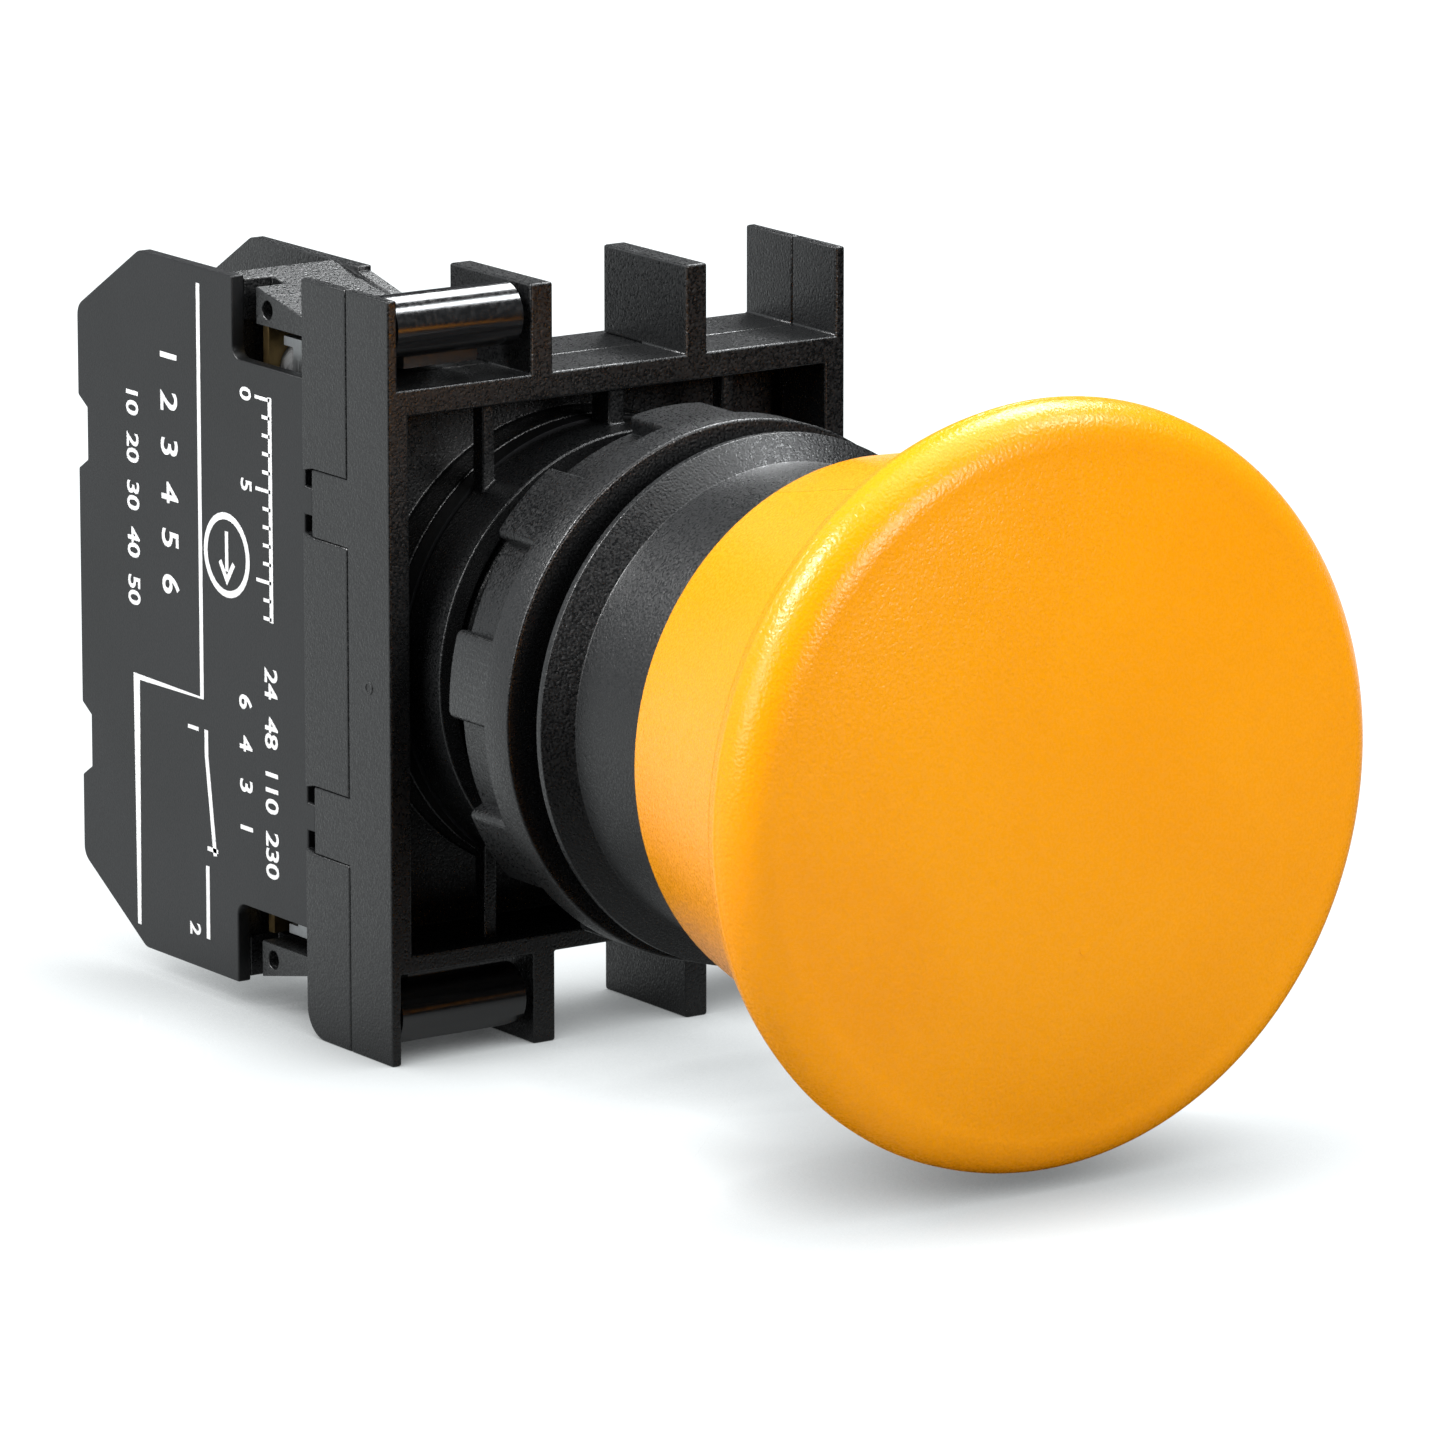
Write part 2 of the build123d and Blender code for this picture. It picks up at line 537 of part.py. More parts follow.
def block_body():
    well_top = BLOCK_RISE + CHAMBER_IN_Z - WELL_GAP
    well_low = BLOCK_RISE - CHAMBER_IN_Z + WELL_GAP
    end = CHAMBER_END_Y
    rear = BLOCK_REAR_Y - NOTCH_D - RUN_FIT
    body = side_slab(CORE_X[0], BLOCK_X[1], [
        (BLOCK_Y, BLOCK_LOW + SLOPE_DROP), (BLOCK_Y, BLOCK_TOP - SLOPE_DROP), (end, BLOCK_TOP),
        (end, well_top), (rear, well_top), (rear, well_low), (end, well_low), (end, BLOCK_LOW),
    ])
    slope_y = BLOCK_Y + SLOPE_LEN
    far_side = [(BLOCK_Y, BLOCK_TOP - SLOPE_DROP), (slope_y, BLOCK_TOP - SLOPE_STEP)]
    far_side += [(slope_y, BLOCK_TOP)] + rear_outline() + [(slope_y, BLOCK_LOW)]
    far_side += [(slope_y, BLOCK_LOW + SLOPE_STEP), (BLOCK_Y, BLOCK_LOW + SLOPE_DROP)]
    body += side_slab(CORE_X[1], BLOCK_X[1], far_side, rear_corners(), CORNER_R)
    near_x = CORE_X[0] - PAST
    floor_x = CORE_X[1] - FLOOR_T
    body -= box(near_x, floor_x, BLOCK_Y + CAVITY_Y, CAVITY_REAR_Y, -CAVITY_Z, CAVITY_Z)
    plate_end = PLUNGER_Y + TRAVEL + PLATE_CLEAR
    body -= box(near_x, BLOCK_X[1] + PAST, BLOCK_Y - PAST, plate_end, -PLUNGER_Z, PLUNGER_Z)
    for s in (-1, 1):
        z_in = BLOCK_RISE + s * CHAMBER_IN_Z
        z_out = BLOCK_RISE + s * CHAMBER_Z
        body -= box(near_x, floor_x, BLOCK_Y + CHAMBER_Y, BLOCK_Y + CHAMBER_LEN, z_in, z_out)
        x0, x1 = MID_X - STRIP_W / 2, MID_X + STRIP_W / 2
        strip_z0, strip_z1 = s * (CAVITY_Z - PAST), z_in + s * PAST
        body -= box(x0, x1, FIXED_Y, FIXED_Y + STRIP_T, strip_z0, strip_z1)
        screw_z = BLOCK_RISE + s * SCREW_Z
        hole_r = SCREW_R + 2 * RUN_FIT
        body -= rod_y(hole_r, end - CHAMBER_WALL - PAST, end + PAST, MID_X, screw_z)
        vent_z = BLOCK_RISE + s * VENT_Z
        body -= rod_x(VENT_R, near_x, CORE_X[0] + SLOT_DEPTH, BLOCK_Y + VENT_Y, vent_z)
        slot_z0 = BLOCK_RISE + s * WINDOW_Z
        slot_z1 = BLOCK_RISE + s * (BLOCK_HALF_H + PAST)
        body -= box(near_x, CORE_X[0] + SLOT_DEPTH, WINDOW_Y - SLOT_LEN, WINDOW_Y, slot_z0, slot_z1)
    return body


def block_side_cover():
    window_top = BLOCK_RISE + WINDOW_Z
    window_low = BLOCK_RISE - WINDOW_Z
    outline = [(BLOCK_Y, window_top), (WINDOW_Y, window_top), (WINDOW_Y, BLOCK_TOP)]
    outline += rear_outline()
    outline += [(WINDOW_Y, BLOCK_LOW), (WINDOW_Y, window_low), (BLOCK_Y, window_low)]
    cover = side_slab(BLOCK_X[0], CORE_X[0], outline, rear_corners(), CORNER_R)
    for z in (window_top, window_low):
        edges = cover.edges().filter_by(Axis.X)
        cover = fillet(edges.sort_by_distance((MID_X, WINDOW_Y, z))[0], WINDOW_R)
    nib_y = BLOCK_Y - TAB_SHORT + NIB_GAP
    half = NIB_H / 2
    for z in TAB_Z:
        cover += box(BLOCK_X[0], CORE_X[0], nib_y, BLOCK_Y + BITE, z - half, z + half)
    return cover


def contact_plunger():
    x0, x1 = MID_X - PLUNGER_HALF_X, MID_X + PLUNGER_HALF_X
    nose_y = BLOCK_Y + PLUNGER_NOSE
    plunger = box(x0, x1, PLUNGER_Y, nose_y, -PLUNGER_NOSE_Z, PLUNGER_NOSE_Z)
    plunger += box(x0, x1, nose_y, PLUNGER_END_Y, -PLUNGER_Z, PLUNGER_Z)
    half_z = PLUNGER_WINDOW_Z
    plunger -= box(x0 - PAST, x1 + PAST, BRIDGE_Y, PLUNGER_WINDOW_Y, -half_z, half_z)
    half_x = STRIP_W / 2 + 2 * RUN_FIT
    slot_end = PLUNGER_WINDOW_Y - PAST
    return plunger - box(MID_X - half_x, MID_X + half_x, BRIDGE_Y, slot_end, -CAVITY_Z, CAVITY_Z)


def contact_bridge():
    half = STRIP_W / 2
    reach = TIP_Z + TIP_R + TIP_EDGE
    return box(MID_X - half, MID_X + half, BRIDGE_Y, BRIDGE_Y + BRIDGE_T, -reach, reach)


def contact_tips(y0):
    tips = [rod_y(TIP_R, y0, y0 + TIP_T, MID_X, z) for z in (-TIP_Z, TIP_Z)]
    return Compound(children=tips)


def terminal(sign):
    y1 = FIXED_Y + STRIP_T
    half = STRIP_W / 2
    z_in = sign * (TIP_Z - TIP_R - TIP_EDGE)
    z_out = BLOCK_RISE + sign * (CHAMBER_Z - BITE)
    strip = box(MID_X - half, MID_X + half, FIXED_Y, y1, z_in, z_out)
    pad_in = BLOCK_RISE + sign * (CHAMBER_IN_Z + 2 * RUN_FIT)
    strip += box(MID_X - PAD_HALF_W, MID_X + PAD_HALF_W, FIXED_Y, y1, pad_in, z_out)
    screw_z = BLOCK_RISE + sign * SCREW_Z
    return strip - rod_y(SCREW_R + SEAT_FIT, FIXED_Y - PAST, y1 + PAST, MID_X, screw_z)


def clamp_plate(sign):
    screw_z = BLOCK_RISE + sign * SCREW_Z
    x0, x1 = MID_X - PAD_HALF_W, MID_X + PAD_HALF_W
    y1 = FIXED_Y - CLAMP_GAP
    y0 = y1 - CLAMP_T
    pad = box(x0, x1, y0, y1, screw_z - CLAMP_H, screw_z + CLAMP_H)
    lip_z = screw_z + sign * CLAMP_H
    pad += box(x0, x1, y1, y1 + CLAMP_LIP, lip_z - sign * CLAMP_LIP_T, lip_z)
    return pad - rod_y(SCREW_R + SEAT_FIT, y0 - PAST, y1 + PAST, MID_X, screw_z)


def terminal_screw(sign):
    screw_z = BLOCK_RISE + sign * SCREW_Z
    seat = CHAMBER_END_Y
    tip_y = seat + SCREW_HEAD_T
    screw = rod_y(SCREW_R, FIXED_Y - SCREW_TAIL, seat + BITE, MID_X, screw_z)
    screw += rod_y(SCREW_HEAD_R, seat, tip_y, MID_X, screw_z)
    for dx, dz in ((CROSS_LEN, CROSS_W / 2), (CROSS_W / 2, CROSS_LEN)):
        x0, x1 = MID_X - dx, MID_X + dx
        screw -= box(x0, x1, tip_y - CROSS_DEPTH, tip_y + PAST, screw_z - dz, screw_z + dz)
    return screw


def snap_bar(sign):
    """A round bar in the bay, with a leg that reaches back to the block."""
    z = SNAP_Z[0] if sign > 0 else SNAP_Z[1]
    end_x = -BAY_PITCH / 2 - FIN_T / 2 - SNAP_SHORT
    bar = rod_x(SNAP_R, -HALF_W + WALL_T + RUN_FIT, end_x, SNAP_Y, z)
    leg_z = z - sign * SNAP_R
    x0, x1 = -HALF_W + LEG_X[0], -HALF_W + LEG_X[1]
    half = LEG_T / 2
    return bar + box(x0, x1, SNAP_Y, BLOCK_Y, leg_z - half, leg_z + half)


save("mushroom_head", mushroom_head())
save("head_stem", head_stem())
save("stem_clip", stem_clip())
spring_front_y = FLANGE_Y + STEM_FLANGE_T
save("return_spring", spring_y(SPRING_R, SPRING_WIRE, spring_front_y, BEZEL_FACE_Y, SPRING_COILS))
save("bezel_body", bezel_body())
save("stem_seal", stem_seal())
save("panel_gasket", panel_gasket())
save("lock_nut", lock_nut())
save("holder_front_frame", holder_front_frame())
save("holder_rear_frame", holder_rear_frame())
save("lock_ring", lock_ring())
save("transfer_plate", transfer_plate())
save("block_body", block_body())
save("block_side_cover", block_side_cover())
save("contact_plunger", contact_plunger())
save("contact_bridge", contact_bridge())
save("moving_tips", contact_tips(BRIDGE_Y - TIP_T))
save("fixed_tips", contact_tips(FIXED_Y + STRIP_T))
save("contact_spring", spring_y(
    CONTACT_SPRING_R, FINE_WIRE, BRIDGE_Y + BRIDGE_T, PLUNGER_WINDOW_Y, CONTACT_COILS, MID_X))
save("plunger_spring", spring_y(
    PLUNGER_SPRING_R, FINE_WIRE, PLUNGER_END_Y, CAVITY_REAR_Y, PLUNGER_COILS, MID_X))
for label, sign in (("upper", 1), ("lower", -1)):
    save(f"{label}_terminal", terminal(sign))
    save(f"{label}_clamp_plate", clamp_plate(sign))
    save(f"{label}_terminal_screw", terminal_screw(sign))
    save(f"{label}_snap_bar", snap_bar(sign))
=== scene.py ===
# %% [markdown]
# # A mushroom-head stop push button
# The object is a control-panel push button: a yellow mushroom head on a black bezel, a ring nut
# that clamps it into a panel hole, and behind the panel a snapped-on holder with one contact block.
# The solid parts come from the engineering model, which is loaded first and never moved.
# Blender then adds what a mould, a press or a printing plate leaves on them.

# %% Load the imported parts
import json
from math import atan2, cos, pi, radians, sin, sqrt, tan

import bmesh
import bpy
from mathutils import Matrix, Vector


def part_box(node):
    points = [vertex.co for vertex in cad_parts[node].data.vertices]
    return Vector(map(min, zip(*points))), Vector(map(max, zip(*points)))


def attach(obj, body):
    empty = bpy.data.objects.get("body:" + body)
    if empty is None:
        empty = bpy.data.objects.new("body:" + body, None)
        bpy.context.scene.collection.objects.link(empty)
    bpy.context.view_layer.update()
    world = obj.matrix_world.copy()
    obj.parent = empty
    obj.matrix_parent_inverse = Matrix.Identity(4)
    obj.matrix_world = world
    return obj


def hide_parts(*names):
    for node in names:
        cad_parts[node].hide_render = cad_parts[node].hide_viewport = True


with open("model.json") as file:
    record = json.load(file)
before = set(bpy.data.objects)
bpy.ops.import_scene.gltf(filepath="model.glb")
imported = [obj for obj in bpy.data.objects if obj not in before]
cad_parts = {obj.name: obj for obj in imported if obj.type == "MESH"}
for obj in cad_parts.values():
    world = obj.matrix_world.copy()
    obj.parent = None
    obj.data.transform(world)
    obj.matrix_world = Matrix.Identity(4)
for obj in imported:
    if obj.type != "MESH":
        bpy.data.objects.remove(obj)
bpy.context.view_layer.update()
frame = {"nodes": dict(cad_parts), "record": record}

MM = 0.001

# %% [markdown]
# ## Where things are
# The main places come from the boxes of the engineering parts. A box can't tell an inner size, such
# as a bore or a groove, so those are typed in where they are first needed.
# The push axis is Y. The head faces -Y, and Y = 0 is the face that seats on the panel.

# %% Places read from the parts
def low(node):
    """The low corner of a part's box, in mm."""
    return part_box(node)[0] / MM


def high(node):
    """The high corner of a part's box, in mm."""
    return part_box(node)[1] / MM


HEAD_R = min(high("mushroom_head").x, -low("mushroom_head").x)
APEX_Y = low("mushroom_head").y
SKIRT_Y = high("mushroom_head").y
SLEEVE_Y = low("bezel_body").y
NECK_END_Y = high("bezel_body").y
BEZEL_R = high("bezel_body").x
NUT_R = high("lock_nut").x
NUT_Y = low("lock_nut").y
NUT_END_Y = high("lock_nut").y
GASKET_Y = low("panel_gasket").y
GASKET_R = high("panel_gasket").x
SIDE_X = low("holder_front_frame").x
FLOOR_Z = low("holder_front_frame").z
COVER_X = low("block_side_cover").x
COVER_LOW_Z = low("block_side_cover").z
COVER_TOP_Z = high("block_side_cover").z
print(f"head radius {HEAD_R:.1f}, apex {APEX_Y:.1f}, side face {SIDE_X:.2f}, floor {FLOOR_Z:.1f} mm")

# %% [markdown]
# ## Camera, floor and light
# The camera stands in front of the head, to its left and a little above it. A long lens keeps the
# edges nearly parallel, as in a catalogue.

# %% Camera
CAMERA_AT = (-0.30395, -0.43893, 0.11902)
CAMERA_AZIMUTH = radians(-34.52)
CAMERA_ELEVATION = radians(12.70)
CAMERA_LENS = 260.1

camera = bpy.data.objects.new("camera", bpy.data.cameras.new("camera"))
camera.data.lens = CAMERA_LENS
camera.data.sensor_width = 36
camera.data.clip_start = 0.01
camera.location = CAMERA_AT
look_back = Vector((
    sin(CAMERA_AZIMUTH) * cos(CAMERA_ELEVATION),
    -cos(CAMERA_AZIMUTH) * cos(CAMERA_ELEVATION),
    sin(CAMERA_ELEVATION),
))
camera.rotation_mode = "QUATERNION"
camera.rotation_quaternion = (-look_back).to_track_quat("-Z", "Y")
bpy.context.scene.collection.objects.link(camera)
bpy.context.scene.camera = camera
bpy.context.scene.view_settings.view_transform = "Standard"
print("camera distance to the axis:", round(Vector(CAMERA_AT).length, 3), "m")

# %% [markdown]
# A material in Blender is a little network of nodes. The same few moves come back in each one:
# add a node, feed it, do a sum, make a noise of a given size, mix two colours, raise a bump.
# They could be wired by hand each time, but short helpers keep every finish readable.

# %% Helpers that add and feed nodes
def feed(tree, socket, value):
    """Gives a socket a link or a plain value."""
    if isinstance(value, bpy.types.NodeSocket):
        tree.links.new(value, socket)
    else:
        socket.default_value = value


def add(tree, kind, settings=None, **sockets):
    """Adds a node, sets its properties and feeds its inputs."""
    node = tree.nodes.new(kind)
    for key, value in (settings or {}).items():
        setattr(node, key, value)
    for key, value in sockets.items():
        feed(tree, node.inputs[key.replace("_", " ")], value)
    return node


def feed_in_order(tree, node, *values):
    """Feeds a node's first inputs by their order, as some of them share one name."""
    for socket, value in zip(node.inputs, values):
        feed(tree, socket, value)
    return node


def combine(tree, operation, first, second):
    """One sum, product or other operation on two numbers."""
    node = add(tree, "ShaderNodeMath", {"operation": operation})
    return feed_in_order(tree, node, first, second).outputs[0]


def dot(tree, first, second):
    """How far two directions agree: 1 for the same, 0 for square to each other."""
    node = add(tree, "ShaderNodeVectorMath", {"operation": "DOT_PRODUCT"})
    return feed_in_order(tree, node, first, second).outputs["Value"]


print("node helpers ready")

# %% [markdown]
# The next helpers are the ones that paint. A noise is given by the size of its blobs in mm, so
# that a grain can be measured on the real thing and typed in.

# %% Helpers for colour, noise and bumps
def new_material(name):
    """A material with its node tree, shader and object coordinates."""
    material = bpy.data.materials.new(name)
    material.use_nodes = True
    tree = material.node_tree
    place = tree.nodes.new("ShaderNodeTexCoord").outputs["Object"]
    return material, tree, tree.nodes["Principled BSDF"], place


def noise(tree, place, size_mm, detail=2.0, roughness=0.5):
    """Noise whose blobs are about size_mm across."""
    node = add(tree, "ShaderNodeTexNoise", Vector=place, Scale=1 / (size_mm * MM), Detail=detail,
               Roughness=roughness)
    return node.outputs["Fac"]


def spread(tree, value, low_value, high_value, start=0.35, end=0.65):
    """Maps start to end onto a range; as given, the useful middle of a noise."""
    node = add(tree, "ShaderNodeMapRange", Value=value, From_Min=start, From_Max=end,
               To_Min=low_value, To_Max=high_value)
    return node.outputs["Result"]


def blend(tree, factor, first, second):
    """Mixes two colours; each is a link or three numbers."""
    node = add(tree, "ShaderNodeMix", {"data_type": "RGBA"}, Factor=factor)
    for name, colour in (("A", first), ("B", second)):
        linked = isinstance(colour, bpy.types.NodeSocket)
        feed(tree, node.inputs[name], colour if linked else (*colour, 1))
    return node.outputs["Result"]


def bump(tree, height, depth_mm, before=None):
    """A bump of that depth, on top of an earlier one."""
    node = add(tree, "ShaderNodeBump", Height=height, Distance=depth_mm * MM, Strength=1.0)
    if before is not None:
        tree.links.new(before, node.inputs["Normal"])
    return node.outputs["Normal"]


print("paint helpers ready")

# %% [markdown]
# The floor stands for a white table top. A real one can only be pure white if it is overlit, which
# would wash out the object, so most of what the camera sees of it is a plain glow instead. The glow
# is dimmed near the object by ambient occlusion, so the contact shadow stays. The rest is a glossy
# surface that reflects the object faintly. Seen in the object's own reflections, the floor glows
# only behind it, because a floor that was bright all round would turn the black plastic grey.

# %% Floor
FLOOR_SIZE = 6.0            # m
LIT_FROM_Y = (-20, 40)      # mm; in reflections the glow fades in from front to back
CLEAR_FROM = (45, 130)      # mm from the origin; past this the floor is all glow
NEAR_SHARE = 0.80           # the share of the glow close to the object
GLOW = 1.25                 # how bright the camera sees it
MIRRORED = 0.88             # how bright the lit part is in reflections
CONTACT_MM = 9              # reach of the contact shadow

half = FLOOR_SIZE / 2
floor_z = FLOOR_Z * MM
floor_mesh = bpy.data.meshes.new("floor")
floor_mesh.from_pydata(
    [(-half, -half, floor_z), (half, -half, floor_z), (half, half, floor_z), (-half, half, floor_z)],
    [], [(0, 1, 2, 3)])
floor = bpy.data.objects.new("floor", floor_mesh)
bpy.context.scene.collection.objects.link(floor)
print("floor at", round(FLOOR_Z, 2), "mm")

# %% [markdown]
# The floor's finish mixes the glossy surface with the glow. A Light Path node tells who is looking,
# the camera or a reflection, and the distances tell which part of the floor is seen.

# %% Finish of the floor
floor_paint, tree, shader, place = new_material("white_floor")
shader.inputs["Base Color"].default_value = (0.40, 0.40, 0.40, 1)
shader.inputs["Roughness"].default_value = 0.08
where = add(tree, "ShaderNodeSeparateXYZ", Vector=place)
far = feed_in_order(tree, add(tree, "ShaderNodeVectorMath", {"operation": "LENGTH"}), place)
ray = add(tree, "ShaderNodeLightPath")
behind = spread(tree, where.outputs["Y"], 0.0, 1.0, LIT_FROM_Y[0] * MM, LIT_FROM_Y[1] * MM)
clear = spread(tree, far.outputs["Value"], NEAR_SHARE, 1.0, CLEAR_FROM[0] * MM, CLEAR_FROM[1] * MM)
seen = ray.outputs["Is Camera Ray"]
share = combine(tree, "MAXIMUM", combine(tree, "MULTIPLY", seen, clear), ray.outputs["Is Glossy Ray"])
near = add(tree, "ShaderNodeAmbientOcclusion", {"samples": 8}, Distance=CONTACT_MM * MM,
           Color=(0.95, 0.99, 1.0, 1))
level = combine(tree, "MAXIMUM", combine(tree, "MULTIPLY", seen, GLOW),
                combine(tree, "MULTIPLY", behind, MIRRORED))
glow = add(tree, "ShaderNodeEmission", Color=near.outputs["Color"], Strength=level)
mix = add(tree, "ShaderNodeMixShader")
feed_in_order(tree, mix, share, shader.outputs["BSDF"], glow.outputs["Emission"])
tree.links.new(mix.outputs["Shader"], tree.nodes["Material Output"].inputs["Surface"])
floor.data.materials.append(floor_paint)
print("floor glow", GLOW, "for the camera and", MIRRORED, "in reflections")

# %% [markdown]
# The studio round the object is dark, apart from one white board behind it on the left. Black
# plastic has hardly any colour of its own: what is seen of it is what it reflects, so the board
# draws its left side. The camera itself sees plain white.

# %% World
WORLD_FILL = 0.06
REFLECTOR = 0.55            # brightness of the board, which is seen only in reflections
BOARD_TOWARD = (-0.62, 0.78, 0)
BOARD_EDGE = (0.35, 0.85)   # the board fades in between these, 1 being straight towards it

world = bpy.data.worlds.new("studio")
bpy.context.scene.world = world
world.use_nodes = True
tree = world.node_tree
toward = add(tree, "ShaderNodeTexCoord").outputs["Generated"]
board = spread(tree, dot(tree, toward, BOARD_TOWARD), 0.0, REFLECTOR, *BOARD_EDGE)
ray = add(tree, "ShaderNodeLightPath")
mirrored = combine(tree, "MULTIPLY", board, ray.outputs["Is Glossy Ray"])
fill = tree.nodes["Background"]
feed(tree, fill.inputs["Color"], (0.93, 0.97, 1.0, 1))
feed(tree, fill.inputs["Strength"], combine(tree, "ADD", mirrored, WORLD_FILL))
white = add(tree, "ShaderNodeBackground", Color=(1, 1, 1, 1), Strength=1.0)
seen = combine(tree, "MAXIMUM", ray.outputs["Is Camera Ray"], ray.outputs["Is Transmission Ray"])
mix = add(tree, "ShaderNodeMixShader")
feed_in_order(tree, mix, seen, fill.outputs["Background"], white.outputs["Background"])
tree.links.new(mix.outputs["Shader"], tree.nodes["World Output"].inputs["Surface"])
print("world fill", WORLD_FILL, "board", REFLECTOR)

# %% [markdown]
# Area lamps stand in for softboxes. Their places follow from the highlights wanted: a rounded
# edge shows a lamp where its surface faces halfway between the lamp and the camera.
# Two of them high up behind draw the bright bands on the rim, one at each side of its top. A small
# one high in front makes the grain of the conical bezel glint, and the broader ones overhead, on
# the left and in front fill the shadows. All of them aim at the origin.

# %% Lamps
def softbox(name, place_m, width, depth, power, tint=(1, 1, 1)):
    """A rectangular lamp at a place, aimed at the origin; sizes in metres, power in watts."""
    lamp = bpy.data.lights.new(name, "AREA")
    lamp.shape = "RECTANGLE"
    lamp.size = width
    lamp.size_y = depth
    lamp.energy = power
    lamp.color = tint
    stand = bpy.data.objects.new(name, lamp)
    stand.location = place_m
    stand.rotation_mode = "QUATERNION"
    stand.rotation_quaternion = (-Vector(place_m)).to_track_quat("-Z", "Y")
    bpy.context.scene.collection.objects.link(stand)
    print("lamp", name, power, "W")


softbox("upper_left", (-0.33, 0.14, 0.41), 0.15, 0.15, 3.2)
softbox("upper_right", (0.275, 0.22, 0.42), 0.22, 0.20, 2.3, (0.97, 0.99, 1.0))
softbox("overhead", (0.05, 0.0, 0.50), 0.50, 0.30, 1.2, (0.97, 0.99, 1.0))
softbox("sparkle", (0.30, -0.16, 0.43), 0.12, 0.12, 1.0, (0.95, 0.98, 1.0))
softbox("left_fill", (-0.60, 0.02, 0.25), 0.30, 0.30, 1.5)
softbox("front_fill", (0.10, -0.80, 0.38), 0.35, 0.35, 4.4)

# %% [markdown]
# ## Finishes
# The head and the black parts are injection moulded. Their moulds were spark eroded, which leaves
# a fine random grain: from far off it reads as satin, and in a highlight each grain glints alone.
# So one function makes every moulded plastic: a slow drift of colour, a grain of a given size and
# depth, a change of roughness from grain to grain, and a paler line on the edges, which is partly
# rubbing wear and partly a painted highlight on edges that would catch the light.

# %% Moulded plastic
WEAR_AND_SHEEN_RADIUS_MM = 0.10       # how far from an edge the paler colour reaches, wear and painted highlight
WEAR_AND_SHEEN_SHARE = 0.55           # how much of the paler edge colour, wear and painted highlight, shows on the edge itself
EDGE_TURN = (0.80, 0.99)    # how far rounded and flat normals agree on an edge, and on a face
PATCH_MM = 1.6              # size of the patches in which the paler edges, wear and painted highlight, come and go
PIT_SHARE = 0.4             # depth of the wide pits against the grain's


def wear_and_sheen_mask(tree, place):
    """High on edges and zero on flat faces, broken into patches; it paints edges paler, as wear and as
    a painted highlight.
    """
    rounded = add(tree, "ShaderNodeBevel", {"samples": 4}, Radius=WEAR_AND_SHEEN_RADIUS_MM * MM)
    flat = add(tree, "ShaderNodeNewGeometry")
    turn = dot(tree, rounded.outputs["Normal"], flat.outputs["Normal"])
    edge = spread(tree, turn, WEAR_AND_SHEEN_SHARE, 0.0, *EDGE_TURN)
    return combine(tree, "MULTIPLY", edge, spread(tree, noise(tree, place, PATCH_MM, 3.0), 0.2, 1.0))


def moulded(name, colour, shade, rough, grain_mm, depth_mm, wear_and_sheen=None, drift_mm=9.0, pits_mm=0.9,
            gloss=0.45):
    """A plastic between two colours, with a grain and, where an edge colour is given, paler edges of
    wear and painted highlight.
    """
    material, tree, shader, place = new_material(name)
    shader.inputs["Specular IOR Level"].default_value = gloss
    slow = spread(tree, noise(tree, place, drift_mm, 3.0), 0.0, 1.0)
    tint = blend(tree, slow, colour, shade)
    # Paler edges: partly rubbing wear, partly a painted highlight where edges would catch the light.
    if wear_and_sheen is not None:
        tint = blend(tree, wear_and_sheen_mask(tree, place), tint, wear_and_sheen)
    tree.links.new(tint, shader.inputs["Base Color"])
    fine = noise(tree, place, grain_mm, 2.0, 0.6)
    tree.links.new(spread(tree, fine, *rough), shader.inputs["Roughness"])
    cells = add(tree, "ShaderNodeTexVoronoi", {"feature": "SMOOTH_F1"}, Vector=place,
                Scale=1 / (grain_mm * MM))
    normal = bump(tree, cells.outputs["Distance"], depth_mm)
    normal = bump(tree, fine, depth_mm, normal)
    normal = bump(tree, noise(tree, place, pits_mm, 2.0), depth_mm * PIT_SHARE, normal)
    tree.links.new(normal, shader.inputs["Normal"])
    return material


# The paler edges are rubbing wear and a painted highlight together.
print("wear reaches", WEAR_AND_SHEEN_RADIUS_MM, "mm from an edge")

# %% [markdown]
# The metals are small and mostly hidden: springs, screws, clamp plates and contacts. Rolling and
# drawing leave streaks along the metal, which a noise stretched along Z gives well enough.

# %% Metal
STREAK_STRETCH = 0.08
STREAK_MM = 0.08
STREAK_DEPTH_MM = 0.003


def metal(name, colour, shade, rough):
    """Bare or plated metal with the fine streaks of rolling, drawing or plating."""
    material, tree, shader, place = new_material(name)
    shader.inputs["Metallic"].default_value = 1.0
    cloudy = spread(tree, noise(tree, place, 1.5, 4.0), 0, 1)
    tree.links.new(blend(tree, cloudy, colour, shade), shader.inputs["Base Color"])
    streak = add(tree, "ShaderNodeMapping", Vector=place, Scale=(1, 1, STREAK_STRETCH))
    lines = noise(tree, streak.outputs["Vector"], STREAK_MM, 3.0)
    tree.links.new(spread(tree, lines, *rough), shader.inputs["Roughness"])
    tree.links.new(bump(tree, lines, STREAK_DEPTH_MM), shader.inputs["Normal"])
    return material


print("metal streaks", STREAK_DEPTH_MM, "mm deep")
